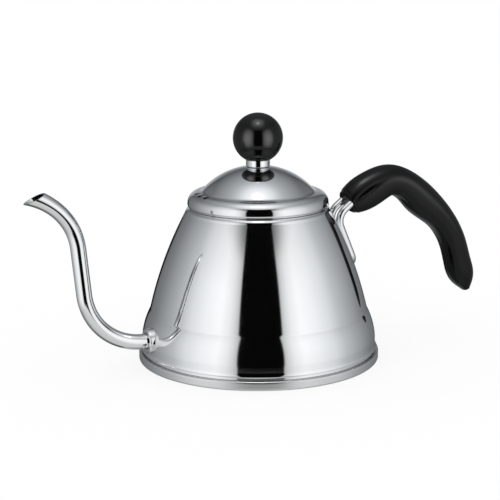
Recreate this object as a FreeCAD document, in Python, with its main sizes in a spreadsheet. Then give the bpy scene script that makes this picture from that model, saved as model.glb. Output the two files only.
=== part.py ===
"""Stove-top gooseneck kettle: polished shell, thin bent spout, rod-mounted grip and lift-off lid.

Millimetres, +Z up. The origin is the centre of the ring that the kettle stands on.
The spout points along -X and the grip along +X.
"""
import FreeCAD, Part
import Sketcher
import math
import os

# Driving sizes in millimetres, angles in degrees
SIZES = {
    # Base pan and its bead
    "base_radius": 75.0,
    "bead_height": 5.2,
    "bead_round": 2.0,
    "bead_lip": 1.9,
    "pan_wall": 1.4,
    "groove_inset": 6.0,
    "groove_width": 11.0,
    "groove_lift": 0.5,
    "seam_clearance": 0.1,
    # Shell, from the band up: each step in and rise starts where the last one ended
    "shell_wall": 0.8,
    "band_top": 14.0,
    "band_round": 31.0,
    "step_in": 5.1,
    "step_rise": 17.0,
    "cone_round": 250.0,
    "cone_in": 23.0,
    "cone_rise": 61.4,
    "shoulder_round": 3.6,
    "shoulder_in": 2.8,
    "shoulder_rise": 2.6,
    "seat_width": 3.6,
    "neck_depth": 7.0,
    # Spout
    "spout_height": 17.7,
    "tube_radius": 4.9,
    "tube_wall": 0.7,
    "tube_inside": 2.5,
    "root_run": 3.4,
    "low_bend": 36.6,
    "spout_lean": 5.6,
    "riser_run": 28.4,
    "top_bend": 36.3,
    "top_turn": 82.0,
    "lip_turn": 75.5,
    "lip_slope": 24.4,
    "wall_clearance": 0.1,
    "collar_radius": 7.2,
    "collar_reach": 2.4,
    # Bracket
    "rod_radius": 2.1,
    "rod_spacing": 12.4,
    "rod_bend": 6.5,
    "rod_touch_drop": 22.4,
    "rod_foot_drop": 10.0,
    "rod_in_grip": 16.0,
    "rod_clearance": 0.05,
    # Grip: the face is placed from the shoulder, and each station after it from the one before
    "grip_slope": 38.0,
    "face_run": 16.0, "face_rise": 0.1, "face_thickness": 16.5, "face_width": 18.0,
    "neck_run": 7.0, "neck_rise": 3.5, "neck_thickness": 21.5, "neck_width": 20.0,
    "swell_run": 10.5, "swell_rise": 5.0, "swell_thickness": 23.0, "swell_width": 20.5,
    "crest_run": 12.5, "crest_rise": 4.0, "crest_thickness": 20.5, "crest_width": 20.5,
    "fall_run": 12.5, "fall_rise": -4.5, "fall_thickness": 20.5, "fall_width": 20.5,
    "elbow_run": 10.5, "elbow_rise": -9.0, "elbow_thickness": 22.5, "elbow_width": 20.5,
    "back_run": 14.5, "back_rise": -13.0, "back_thickness": 19.0, "back_width": 20.0,
    "palm_run": 11.0, "palm_rise": -17.5, "palm_thickness": 17.5, "palm_width": 19.5,
    "heel_run": 4.5, "heel_rise": -14.5, "heel_thickness": 18.0, "heel_width": 19.0,
    "tail_run": 4.5, "tail_rise": -13.0, "tail_thickness": 14.0, "tail_width": 15.0,
    "tip_run": 2.0, "tip_rise": -5.7, "tip_thickness": 6.0, "tip_width": 8.0,
    # Lid, from its seat up: hem, rim, rolled ring, riser and dome
    "lid_wall": 0.7,
    "lid_inset": 0.8,
    "lid_hem": 1.9,
    "rim_overhang": 2.2,
    "rim_rise": 3.0,
    "rim_tuck": 3.2,
    "ring_round": 6.2,
    "ring_in": 2.3,
    "ring_fall": 0.7,
    "riser_in": 0.6,
    "riser_rise": 1.7,
    "dome_round": 47.0,
    "dome_rise": 14.4,
    "knob_flat_radius": 7.7,
    "vent_offset": 0.8,
    "vent_length": 3.8,
    "vent_width": 1.5,
    "vent_pitch": 11.0,
    "skirt_wall": 0.6,
    "skirt_clearance": 0.35,
    "skirt_lap": 1.2,
    "skirt_depth": 7.6,
    # Knob
    "ball_radius": 15.75,
    "ball_centre_rise": 12.8,
    "spacer_radius": 7.35,
    "spacer_height": 4.6,
    "spacer_edge": 0.5,
    "insert_radius": 4.0,
    "insert_length": 12.0,
    "insert_clearance": 0.05,
    "screw_radius": 2.0,
    "screw_clearance": 0.3,
    "thread_clearance": 0.05,
    "screw_head_radius": 3.8,
    "screw_head_height": 2.2,
    "washer_radius": 5.2,
    "washer_thickness": 0.8,
}

# Steam slots in the lid's ring
VENT_COUNT = 3

# Stations of the grip along its line, from the end face that takes the rod to the rounded tip
GRIP_STATIONS = ("face", "neck", "swell", "crest", "fall", "elbow", "back", "palm", "heel", "tail", "tip")

doc = FreeCAD.newDocument("kettle")
sheet = doc.addObject("Spreadsheet::Sheet", "Sizes")


class Size:
    """A number together with the sheet formula that it comes from."""

    def __init__(self, number, formula):
        self.number = number
        self.formula = formula

    def __add__(self, other):
        other = as_size(other)
        return Size(self.number + other.number, "(%s + %s)" % (self.formula, other.formula))

    def __sub__(self, other):
        other = as_size(other)
        return Size(self.number - other.number, "(%s - %s)" % (self.formula, other.formula))

    def __mul__(self, other):
        other = as_size(other)
        return Size(self.number * other.number, "(%s * %s)" % (self.formula, other.formula))


def as_size(value):
    if isinstance(value, Size):
        return value
    return Size(float(value), repr(float(value)))


def write_sheet():
    """Put every driving size in its own cell and give the cell the size's name."""
    for row, (name, number) in enumerate(SIZES.items(), start=1):
        sheet.set("A%d" % row, name)
        sheet.set("B%d" % row, str(number))
        sheet.setAlias("B%d" % row, name)
    doc.recompute()
    return {name: Size(float(sheet.get(name)), "Sizes." + name) for name in SIZES}


size = write_sheet()


def bind(target, prop, value):
    """Set a property through the sheet."""
    target.setExpression(prop, as_size(value).formula)


def plane(body, role):
    return [feature for feature in body.Origin.OriginFeatures if feature.Role == role][0]


def new_sketch(body, name, role):
    sketch = body.newObject("Sketcher::SketchObject", name)
    sketch.AttachmentSupport = [(plane(body, role), "")]
    sketch.MapMode = "FlatFace"
    return sketch


def arc_between(start, end, radius, left):
    """The minor arc from start to end, bulging to the left or right of the way it runs.

    Gives the arc and whether it runs against its own turning sense.
    """
    chord = end - start
    side = FreeCAD.Vector(-chord.y, chord.x, 0).normalize() * (1 if left else -1)
    depth = math.sqrt(radius ** 2 - (chord.Length / 2) ** 2)
    centre = (start + end) * 0.5 - side * depth
    angles = [math.atan2(point.y - centre.y, point.x - centre.x) for point in (start, end)]
    circle = Part.Circle(centre, FreeCAD.Vector(0, 0, 1), radius)
    if left:
        return Part.ArcOfCircle(circle, angles[1], angles[0]), True
    return Part.ArcOfCircle(circle, angles[0], angles[1]), False


def pin_point(constraints, formulas, geo, pos, across, up):
    """Fix a sketch point by its two distances from the origin, each bound to the sheet."""
    for kind, value, axis in (("DistanceX", as_size(across), -2), ("DistanceY", as_size(up), -1)):
        if value.number == 0:
            constraints.append(Sketcher.Constraint("PointOnObject", geo, pos, axis))
            formulas.append(None)
        else:
            constraints.append(Sketcher.Constraint(kind, -1, 1, geo, pos, value.number))
            formulas.append(value.formula)


def add_constraints(sketch, constraints, formulas):
    first = sketch.ConstraintCount
    sketch.addConstraint(constraints)
    for index, formula in enumerate(formulas, start=first):
        if formula:
            sketch.setExpression("Constraints[%d]" % index, formula)


def draw_outline(sketch, corners):
    """Draw a closed outline. A corner is (across, up) or (across, up, radius, side),
    where radius and side bend the edge that leaves the corner."""
    points = [FreeCAD.Vector(as_size(c[0]).number, as_size(c[1]).number, 0) for c in corners]
    constraints, formulas, ends = [], [], []
    for index, corner in enumerate(corners):
        start, end = points[index], points[(index + 1) % len(points)]
        if len(corner) == 2:
            geo = sketch.addGeometry(Part.LineSegment(start, end))
            ends.append((geo, 1, 2))
            continue
        radius, left = as_size(corner[2]), corner[3] == "left"
        arc, turned_round = arc_between(start, end, radius.number, left)
        geo = sketch.addGeometry(arc)
        ends.append((geo, 2, 1) if turned_round else (geo, 1, 2))
        constraints.append(Sketcher.Constraint("Radius", geo, radius.number))
        formulas.append(radius.formula)
    for index, corner in enumerate(corners):
        geo, first, last = ends[index]
        before = ends[index - 1]
        constraints.append(Sketcher.Constraint("Coincident", before[0], before[2], geo, first))
        formulas.append(None)
        pin_point(constraints, formulas, geo, first, corner[0], corner[1])
    add_constraints(sketch, constraints, formulas)


def turned_body(label, corners):
    """A piece turned about the kettle's axis from its half outline of (radius, height) corners."""
    body = doc.addObject("PartDesign::Body", label)
    body.Label = label
    sketch = new_sketch(body, label + "_outline", "XZ_Plane")
    draw_outline(sketch, corners)
    turn = body.newObject("PartDesign::Revolution", label + "_turn")
    turn.Profile = sketch
    turn.ReferenceAxis = (sketch, ["V_Axis"])
    turn.Angle = 360
    sketch.Visibility = False
    doc.recompute()
    return body


def draw_circle(sketch, across, up, radius):
    centre = FreeCAD.Vector(as_size(across).number, as_size(up).number, 0)
    geo = sketch.addGeometry(Part.Circle(centre, FreeCAD.Vector(0, 0, 1), as_size(radius).number))
    constraints = [Sketcher.Constraint("Radius", geo, as_size(radius).number)]
    formulas = [as_size(radius).formula]
    pin_point(constraints, formulas, geo, 3, across, up)
    add_constraints(sketch, constraints, formulas)


# Sizes that follow from the driving ones: the shell from the base up
band_radius = size["base_radius"] - size["bead_lip"]
step_radius = band_radius - size["step_in"]
shoulder_radius = step_radius - size["cone_in"]
seat_radius = shoulder_radius - size["shoulder_in"]
mouth_radius = seat_radius - size["seat_width"]
shell_inner = band_radius - size["shell_wall"]
plate_top = size["pan_wall"]
step_height = size["band_top"] + size["step_rise"]
shoulder_height = step_height + size["cone_rise"]
seat_height = shoulder_height + size["shoulder_rise"]

# The lid and the knob, from the seat up
lid_seat_radius = seat_radius - size["lid_inset"]
hem_inner = lid_seat_radius - size["lid_hem"]
hem_top = seat_height + size["lid_wall"]
rim_radius = lid_seat_radius + size["rim_overhang"]
rim_height = seat_height + size["rim_rise"]
crest_radius = rim_radius - size["ring_round"]
crest_height = rim_height + size["ring_round"]
foot_radius = crest_radius - size["ring_in"]
foot_height = crest_height - size["ring_fall"]
crease_radius = foot_radius - size["riser_in"]
crease_height = foot_height + size["riser_rise"]
knob_seat = crease_height + size["dome_rise"]
dome_under = knob_seat - size["lid_wall"]
washer_under = dome_under - size["washer_thickness"]
ball_flat = knob_seat + size["spacer_height"]
screw_hole = size["screw_radius"] + size["screw_clearance"]

# The bracket's rod
half_spacing = size["rod_spacing"] * 0.5
touch_height = shoulder_height - size["rod_touch_drop"]
rod_foot_height = touch_height - size["rod_foot_drop"]


def outer_wall(offset):
    """Corners of the shell's outside from the seam to the mouth, moved out by offset."""
    return [
        (band_radius + offset, plate_top),
        (band_radius + offset, size["band_top"], size["band_round"], "right"),
        (step_radius + offset, step_height, size["cone_round"], "right"),
        (shoulder_radius + offset, shoulder_height, size["shoulder_round"], "right"),
        (seat_radius + offset, seat_height),
    ]


def make_base_pan():
    bead_inner = band_radius + size["seam_clearance"]
    groove_outer = size["base_radius"] - size["groove_inset"]
    groove_inner = groove_outer - size["groove_width"]
    turned_body("base_pan", [
        (0, 0),
        (groove_inner, 0),
        (groove_inner + size["groove_lift"], size["groove_lift"]),
        (groove_outer - size["groove_lift"], size["groove_lift"]),
        (groove_outer, 0),
        (size["base_radius"] - size["bead_round"], 0, size["bead_round"], "right"),
        (size["base_radius"], size["bead_round"]),
        (size["base_radius"], size["bead_height"] - size["bead_round"], size["bead_round"], "right"),
        (bead_inner, size["bead_height"]),
        (bead_inner, plate_top),
        (0, plate_top),
    ])


def make_body_shell():
    wall = size["shell_wall"]
    neck_low = seat_height - size["neck_depth"]
    neck_outer = mouth_radius + wall
    body = turned_body("body_shell", outer_wall(0) + [
        (mouth_radius, seat_height),
        (mouth_radius, neck_low),
        (neck_outer, neck_low),
        (neck_outer, seat_height - wall),
        (seat_radius, seat_height - wall, size["shoulder_round"] - wall, "left"),
        (shoulder_radius - wall, shoulder_height, size["cone_round"], "left"),
        (step_radius - wall, step_height, size["band_round"], "left"),
        (shell_inner, size["band_top"]),
        (shell_inner, plate_top),
    ])
    before = body.Shape.Volume
    sketch = new_sketch(body, "spout_hole_outline", "YZ_Plane")
    draw_circle(sketch, 0, size["spout_height"], size["tube_radius"] + size["wall_clearance"])
    hole = body.newObject("PartDesign::Pocket", "spout_hole")
    hole.Profile = sketch
    hole.Type = "Length"
    bind(hole, "Length", size["base_radius"])
    doc.recompute()
    print("spout hole takes", round(before - body.Shape.Volume, 2), "mm3 from the shell")


def path_of_spout():
    """Ends and centres of the spout's centre line in its plane: level root, low bend, riser, top bend."""
    lean = math.radians(size["spout_lean"].number)
    low, top = size["low_bend"].number, size["top_bend"].number
    start = FreeCAD.Vector(size["tube_inside"].number - shell_inner.number, size["spout_height"].number, 0)
    bend_from = FreeCAD.Vector(-band_radius.number - size["root_run"].number, start.y, 0)
    low_centre = bend_from + FreeCAD.Vector(0, low, 0)
    bend_to = low_centre + FreeCAD.Vector(-math.cos(lean), -math.sin(lean), 0) * low
    riser_end = bend_to + FreeCAD.Vector(-math.sin(lean), math.cos(lean), 0) * size["riser_run"].number
    top_centre = riser_end + FreeCAD.Vector(-math.cos(lean), -math.sin(lean), 0) * top
    return start, bend_from, low_centre, bend_to, riser_end, top_centre


def draw_spout_path(sketch):
    start, bend_from, low_centre, bend_to, riser_end, top_centre = path_of_spout()
    up = FreeCAD.Vector(0, 0, 1)
    lean = math.radians(size["spout_lean"].number)
    turn = math.radians(size["top_turn"].number)
    root = sketch.addGeometry(Part.LineSegment(start, bend_from))
    low_circle = Part.Circle(low_centre, up, size["low_bend"].number)
    low = sketch.addGeometry(Part.ArcOfCircle(low_circle, math.pi + lean, 1.5 * math.pi))
    riser = sketch.addGeometry(Part.LineSegment(bend_to, riser_end))
    top_circle = Part.Circle(top_centre, up, size["top_bend"].number)
    top = sketch.addGeometry(Part.ArcOfCircle(top_circle, lean, lean + turn))
    constraints, formulas = [], []

    def fix(constraint, formula=None):
        constraints.append(constraint)
        formulas.append(formula)

    fix(Sketcher.Constraint("Horizontal", root))
    fix(Sketcher.Constraint("Tangent", root, 2, low, 2))
    fix(Sketcher.Constraint("Tangent", low, 1, riser, 1))
    fix(Sketcher.Constraint("Tangent", riser, 2, top, 1))
    start_reach = shell_inner - size["tube_inside"]
    bend_reach = band_radius + size["root_run"]
    fix(Sketcher.Constraint("DistanceX", root, 1, -1, 1, start_reach.number), start_reach.formula)
    fix(Sketcher.Constraint("DistanceY", -1, 1, root, 1, start.y), size["spout_height"].formula)
    fix(Sketcher.Constraint("DistanceX", root, 2, -1, 1, bend_reach.number), bend_reach.formula)
    fix(Sketcher.Constraint("Radius", low, size["low_bend"].number), size["low_bend"].formula)
    fix(Sketcher.Constraint("Distance", riser, size["riser_run"].number), size["riser_run"].formula)
    fix(Sketcher.Constraint("Radius", top, size["top_bend"].number), size["top_bend"].formula)
    lean_formula = "(90 + %s) * 1 deg" % size["spout_lean"].formula
    fix(Sketcher.Constraint("Angle", riser, math.pi / 2 + lean), lean_formula)
    fix(Sketcher.Constraint("Angle", top, turn), "%s * 1 deg" % size["top_turn"].formula)
    add_constraints(sketch, constraints, formulas)


def make_spout_tube():
    body = doc.addObject("PartDesign::Body", "spout_tube")
    body.Label = "spout_tube"
    path = new_sketch(body, "spout_path", "XZ_Plane")
    draw_spout_path(path)
    ring = new_sketch(body, "spout_ring", "YZ_Plane")
    ring.AttachmentOffset = FreeCAD.Placement(
        FreeCAD.Vector(0, 0, path_of_spout()[0].x), FreeCAD.Rotation())
    bind(ring, "AttachmentOffset.Base.z", size["tube_inside"] - shell_inner)
    draw_circle(ring, 0, size["spout_height"], size["tube_radius"])
    draw_circle(ring, 0, size["spout_height"], size["tube_radius"] - size["tube_wall"])
    pipe = body.newObject("PartDesign::AdditivePipe", "spout_pipe")
    pipe.Profile = ring
    pipe.Spine = path
    doc.recompute()
    before = body.Shape.Volume
    cut = new_sketch(body, "spout_lip_cut", "XZ_Plane")
    lip, slope_way = lip_of_spout()
    over = size["top_bend"].number
    far = lip - slope_way * over
    near = lip + slope_way * over
    lift = FreeCAD.Vector(-slope_way.y, slope_way.x, 0) * over
    corners = [near, far, far - lift, near - lift]
    for index, corner in enumerate(corners):
        cut.addGeometry(Part.LineSegment(corner, corners[(index + 1) % len(corners)]))
    pocket = body.newObject("PartDesign::Pocket", "spout_lip")
    pocket.Profile = cut
    pocket.Type = "ThroughAll"
    pocket.Midplane = True
    doc.recompute()
    print("spout tube", round(before, 1), "mm3, lip cut takes", round(before - body.Shape.Volume, 1))


def lip_of_spout():
    """The lowest point of the mouth, and the direction in which the mouth's plane falls away."""
    top_centre = path_of_spout()[-1]
    angle = math.radians(size["spout_lean"].number + size["lip_turn"].number)
    inner_edge = size["top_bend"].number - size["tube_radius"].number
    lip = top_centre + FreeCAD.Vector(math.cos(angle), math.sin(angle), 0) * inner_edge
    slope = math.radians(size["lip_slope"].number)
    return lip, FreeCAD.Vector(-math.cos(slope), -math.sin(slope), 0)


def make_spout_collar():
    """A flange round the root of the spout, its back face shaped to the wall."""
    height = size["spout_height"]
    reach = band_radius + size["collar_reach"]
    parts = {}
    for name, radius in (("flange", size["collar_radius"]),
                         ("flange_bore", size["tube_radius"] + size["wall_clearance"])):
        parts[name] = doc.addObject("Part::Cylinder", name)
        parts[name].Placement = FreeCAD.Placement(
            FreeCAD.Vector(-reach.number, 0, height.number),
            FreeCAD.Rotation(FreeCAD.Vector(0, 1, 0), 90))
        bind(parts[name], "Radius", radius)
        bind(parts[name], "Height", size["base_radius"] * 0.5)
        bind(parts[name], "Placement.Base.x", as_size(0) - reach)
        bind(parts[name], "Placement.Base.z", height)
    wall_core = turned_body("wall_core", outer_wall(size["wall_clearance"]) + [
        (0, seat_height),
        (0, plate_top),
    ])
    ring = doc.addObject("Part::Cut", "flange_ring")
    ring.Base, ring.Tool = parts["flange"], parts["flange_bore"]
    collar = doc.addObject("Part::Cut", "spout_collar")
    collar.Label = "spout_collar"
    collar.Base, collar.Tool = ring, wall_core
    doc.recompute()


def cone_wall(height):
    """Outside radius of the cone, and its slope, at a height: the arc between step and shoulder."""
    low = FreeCAD.Vector(step_radius.number, step_height.number, 0)
    high = FreeCAD.Vector(shoulder_radius.number, shoulder_height.number, 0)
    chord = high - low
    bulge = size["cone_round"].number
    inward = FreeCAD.Vector(-chord.y, chord.x, 0).normalize()
    centre = (low + high) * 0.5 + inward * math.sqrt(bulge ** 2 - (chord.Length / 2) ** 2)
    radius = centre.x + math.sqrt(bulge ** 2 - (height - centre.y) ** 2)
    normal = FreeCAD.Vector(radius - centre.x, height - centre.y, 0).normalize()
    return radius, normal


def fillet_corner(before, corner, after, radius):
    """The tangent arc of a radius in the corner of two runs, as its two ends and its middle."""
    back, ahead = (before - corner).normalize(), (after - corner).normalize()
    half = back.getAngle(ahead) / 2
    trim = radius / math.tan(half)
    bisector = (back + ahead).normalize()
    middle = corner + bisector * (radius / math.sin(half) - radius)
    return corner + back * trim, middle, corner + ahead * trim


def bracket_points():
    """The rod's centre line in the handle's plane: its end in the grip, its corner and its foot,
    then the way down the leg, the middle of the grip's face and the way into the grip."""
    touch_radius, normal = cone_wall(touch_height.number)
    touch = FreeCAD.Vector(touch_radius, 0, touch_height.number)
    out = FreeCAD.Vector(normal.x, 0, normal.y)
    leg = FreeCAD.Vector(normal.y, 0, -normal.x)
    on_leg = touch + out * (size["rod_radius"].number + size["wall_clearance"].number)
    slope = math.radians(size["grip_slope"].number)
    into = FreeCAD.Vector(math.cos(slope), 0, math.sin(slope))
    face_reach, face_height = grip_spots()[0]
    face = FreeCAD.Vector(face_reach.number, 0, face_height.number)
    gap = face - on_leg
    across = into.x * leg.z - into.z * leg.x
    corner = on_leg + leg * ((into.x * gap.z - into.z * gap.x) / across)
    end = face + into * size["rod_in_grip"].number
    foot = on_leg + leg * ((on_leg.z - rod_foot_height.number) / -leg.z)
    return end, corner, foot, leg, face, into


def make_handle_bracket():
    """One rod bent to a U: two legs a spacing apart, joined by a half round at the foot."""
    end, corner, foot, leg, _, _ = bracket_points()
    aside = FreeCAD.Vector(0, half_spacing.number, 0)
    bend_in, bend_middle, bend_out = fillet_corner(end, corner, foot, size["rod_bend"].number)
    toe = foot + leg * half_spacing.number
    edges = [
        Part.LineSegment(end - aside, bend_in - aside),
        Part.Arc(bend_in - aside, bend_middle - aside, bend_out - aside),
        Part.LineSegment(bend_out - aside, foot - aside),
        Part.Arc(foot - aside, toe, foot + aside),
        Part.LineSegment(foot + aside, bend_out + aside),
        Part.Arc(bend_out + aside, bend_middle + aside, bend_in + aside),
        Part.LineSegment(bend_in + aside, end + aside),
    ]
    line = Part.Wire([edge.toShape() for edge in edges])
    section = Part.Circle(end - aside, bend_in - end, size["rod_radius"].number)
    rod = line.makePipeShell([Part.Wire([section.toShape()])], True, False)
    bracket = doc.addObject("Part::Feature", "handle_bracket")
    bracket.Label = "handle_bracket"
    bracket.Shape = rod
    exact = math.pi * size["rod_radius"].number ** 2 * line.Length
    print("bracket rod", round(rod.Volume, 1), "mm3, section times length", round(exact, 1))


def grip_spots():
    """Reach and height of each station of the grip, counted on from the shoulder."""
    reach, height = shoulder_radius, shoulder_height
    spots = []
    for name in GRIP_STATIONS:
        reach = reach + size[name + "_run"]
        height = height + size[name + "_rise"]
        spots.append((reach, height))
    return spots


def make_handle_grip():
    """Loft through elliptical sections square to the grip's line, with two bores for the rod's legs."""
    count = len(GRIP_STATIONS)
    bound_spots = grip_spots()
    spots = [FreeCAD.Vector(reach.number, 0, height.number) for reach, height in bound_spots]
    sections = []
    for index in range(count):
        ahead = spots[min(index + 1, count - 1)] - spots[max(index - 1, 0)]
        heading = math.degrees(math.atan2(ahead.z, ahead.x))
        if index == 0:
            heading = size["grip_slope"].number
        section = doc.addObject("Part::Ellipse", "grip_section")
        thick = size[GRIP_STATIONS[index] + "_thickness"]
        wide = size[GRIP_STATIONS[index] + "_width"]
        turn = FreeCAD.Rotation(FreeCAD.Vector(0, 1, 0), 90 - heading)
        across_first = wide.number >= thick.number
        if across_first:
            turn = turn.multiply(FreeCAD.Rotation(FreeCAD.Vector(0, 0, 1), 90))
        section.Placement = FreeCAD.Placement(spots[index], turn)
        bind(section, "MajorRadius", (wide if across_first else thick) * 0.5)
        bind(section, "MinorRadius", (thick if across_first else wide) * 0.5)
        bind(section, "Placement.Base.x", bound_spots[index][0])
        bind(section, "Placement.Base.z", bound_spots[index][1])
        sections.append(section)
    loft = doc.addObject("Part::Loft", "grip_loft")
    loft.Sections = sections
    loft.Solid = True
    loft.Ruled = False
    face, into = bracket_points()[-2:]
    start = face - into * size["rod_bend"].number
    bores = []
    for side in (-1, 1):
        bore = doc.addObject("Part::Cylinder", "grip_bore")
        bore.Placement = FreeCAD.Placement(
            start + FreeCAD.Vector(0, side * half_spacing.number, 0),
            FreeCAD.Rotation(FreeCAD.Vector(0, 0, 1), into))
        bind(bore, "Radius", size["rod_radius"] + size["rod_clearance"])
        bind(bore, "Height", size["rod_bend"] + size["rod_in_grip"])
        bind(bore, "Placement.Base.y", half_spacing * side)
        bores.append(bore)
    both = doc.addObject("Part::MultiFuse", "grip_bores")
    both.Shapes = bores
    grip = doc.addObject("Part::Cut", "handle_grip")
    grip.Label = "handle_grip"
    grip.Base, grip.Tool = loft, both
    doc.recompute()


def make_lid_dome():
    wall = size["lid_wall"]
    body = turned_body("lid_dome", [
        (hem_inner, seat_height),
        (lid_seat_radius, seat_height, size["rim_tuck"], "right"),
        (rim_radius, rim_height, size["ring_round"], "right"),
        (crest_radius, crest_height),
        (foot_radius, foot_height),
        (crease_radius, crease_height, size["dome_round"], "right"),
        (size["knob_flat_radius"], knob_seat),
        (screw_hole, knob_seat),
        (screw_hole, dome_under),
        (size["knob_flat_radius"], dome_under, size["dome_round"], "left"),
        (crease_radius - wall, crease_height - wall * 0.5),
        (foot_radius - wall, foot_height - wall),
        (crest_radius, crest_height - wall, size["ring_round"] - wall, "left"),
        (rim_radius - wall, rim_height, size["rim_tuck"] - wall, "left"),
        (lid_seat_radius, hem_top),
        (hem_inner, hem_top),
    ])
    before = body.Shape.Volume
    sketch = new_sketch(body, "vent_outline", "XY_Plane")
    spread = size["vent_pitch"] * (VENT_COUNT - 1)
    sketch.AttachmentOffset = FreeCAD.Placement(
        FreeCAD.Vector(0, 0, 0), FreeCAD.Rotation(FreeCAD.Vector(0, 0, 1), 180 - spread.number / 2))
    half_run = (size["vent_length"] - size["vent_width"]) * 0.5
    half_width = size["vent_width"] * 0.5
    vent_radius = crest_radius + size["vent_offset"]
    inner, outer = vent_radius - half_run, vent_radius + half_run
    draw_slot(sketch, inner, outer, half_width)
    slot = body.newObject("PartDesign::Pocket", "vent")
    slot.Profile = sketch
    slot.Type = "Length"
    slot.Reversed = True
    bind(slot, "Length", knob_seat)
    doc.recompute()
    pattern = body.newObject("PartDesign::PolarPattern", "vents")
    pattern.Originals = [slot]
    pattern.Axis = (plane(body, "Z_Axis"), [""])
    pattern.Occurrences = VENT_COUNT
    bind(pattern, "Angle", spread)
    body.Tip = pattern
    doc.recompute()
    print("vents take", round(before - body.Shape.Volume, 2), "mm3 from the lid")


def draw_slot(sketch, inner, outer, half_width):
    """A slot with round ends along the sketch's first axis, between two end centres."""
    up = FreeCAD.Vector(0, 0, 1)
    left, right = FreeCAD.Vector(inner.number, 0, 0), FreeCAD.Vector(outer.number, 0, 0)
    side = FreeCAD.Vector(0, half_width.number, 0)
    far = sketch.addGeometry(Part.ArcOfCircle(
        Part.Circle(right, up, half_width.number), -math.pi / 2, math.pi / 2))
    near = sketch.addGeometry(Part.ArcOfCircle(
        Part.Circle(left, up, half_width.number), math.pi / 2, 1.5 * math.pi))
    top = sketch.addGeometry(Part.LineSegment(right + side, left + side))
    low = sketch.addGeometry(Part.LineSegment(left - side, right - side))
    constraints = [
        Sketcher.Constraint("Tangent", far, 2, top, 1),
        Sketcher.Constraint("Tangent", top, 2, near, 1),
        Sketcher.Constraint("Tangent", near, 2, low, 1),
        Sketcher.Constraint("Tangent", low, 2, far, 1),
        Sketcher.Constraint("Radius", far, half_width.number),
    ]
    formulas = [None, None, None, None, half_width.formula]
    pin_point(constraints, formulas, far, 3, outer, 0)
    pin_point(constraints, formulas, near, 3, inner, 0)
    add_constraints(sketch, constraints, formulas)


def make_lid_skirt():
    low = seat_height - size["skirt_depth"]
    skirt_radius = mouth_radius - size["skirt_clearance"]
    inner = skirt_radius - size["skirt_wall"]
    flange = hem_inner + size["skirt_lap"]
    top = hem_top + size["skirt_wall"]
    turned_body("lid_skirt", [
        (inner, low),
        (skirt_radius, low),
        (skirt_radius, hem_top),
        (flange, hem_top),
        (flange, top),
        (inner, top),
    ])


def make_knob_ball():
    centre = ball_flat + size["ball_centre_rise"]
    ball = doc.addObject("Part::Sphere", "ball_whole")
    bind(ball, "Radius", size["ball_radius"])
    bind(ball, "Placement.Base.z", centre)
    under = doc.addObject("Part::Cylinder", "ball_flat_cut")
    bind(under, "Radius", size["ball_radius"])
    bind(under, "Height", size["ball_radius"])
    bind(under, "Placement.Base.z", ball_flat - size["ball_radius"])
    bore = doc.addObject("Part::Cylinder", "ball_bore")
    bind(bore, "Radius", size["insert_radius"] + size["insert_clearance"])
    bind(bore, "Height", size["insert_length"] + size["insert_clearance"])
    bind(bore, "Placement.Base.z", ball_flat)
    flat = doc.addObject("Part::Cut", "ball_with_flat")
    flat.Base, flat.Tool = ball, under
    knob = doc.addObject("Part::Cut", "knob_ball")
    knob.Label = "knob_ball"
    knob.Base, knob.Tool = flat, bore
    doc.recompute()


def make_knob_insert():
    bore = size["screw_radius"] + size["thread_clearance"]
    top = ball_flat + size["insert_length"]
    turned_body("knob_insert", [
        (bore, ball_flat),
        (size["insert_radius"], ball_flat),
        (size["insert_radius"], top),
        (bore, top),
    ])


def make_knob_collar():
    edge = size["spacer_edge"]
    low, top = knob_seat, ball_flat
    turned_body("knob_collar", [
        (screw_hole, low),
        (size["spacer_radius"] - edge, low, edge, "right"),
        (size["spacer_radius"], low + edge),
        (size["spacer_radius"], top - edge, edge, "right"),
        (size["spacer_radius"] - edge, top),
        (screw_hole, top),
    ])


def make_knob_screw():
    low = washer_under - size["screw_head_height"]
    tip = ball_flat + size["insert_length"] - size["screw_radius"]
    turned_body("knob_screw", [
        (0, low),
        (size["screw_head_radius"], low),
        (size["screw_head_radius"], washer_under),
        (size["screw_radius"], washer_under),
        (size["screw_radius"], tip),
        (0, tip),
    ])


def make_knob_washer():
    turned_body("knob_washer", [
        (screw_hole, washer_under),
        (size["washer_radius"], washer_under),
        (size["washer_radius"], dome_under),
        (screw_hole, dome_under),
    ])


PIECES = {
    "base_pan": make_base_pan,
    "body_shell": make_body_shell,
    "spout_tube": make_spout_tube,
    "spout_collar": make_spout_collar,
    "handle_bracket": make_handle_bracket,
    "handle_grip": make_handle_grip,
    "lid_dome": make_lid_dome,
    "lid_skirt": make_lid_skirt,
    "knob_ball": make_knob_ball,
    "knob_insert": make_knob_insert,
    "knob_collar": make_knob_collar,
    "knob_screw": make_knob_screw,
    "knob_washer": make_knob_washer,
}

for make_piece in PIECES.values():
    make_piece()
doc.recompute()

failed = [item.Label for item in doc.Objects if "Invalid" in item.State or "Error" in item.State]
if failed:
    raise RuntimeError("these objects failed: " + ", ".join(failed))

os.makedirs("parts", exist_ok=True)
for label in PIECES:
    shape = doc.getObjectsByLabel(label)[0].Shape
    if shape.isNull() or not shape.isValid():
        raise RuntimeError("no valid solid for " + label)
    shape.exportStep("parts/%s.step" % label)
    print(label, len(shape.Solids), "solid,", round(shape.Volume, 1), "mm3")
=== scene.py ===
# %% [markdown]
# # A stove-top gooseneck kettle
# This is a drip kettle of polished steel: a turned shell with a thin bent spout, a domed lid with a ball
# knob and a black grip on a bent rod. Its construction model is loaded as a fixed frame. The pieces could
# keep their construction meshes, but flat facets break up the reflections in polished steel. So each
# visible piece is worked out again as a fine surface in the same place, which stands for the frame's.

# %% Load the frame
import math

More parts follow.
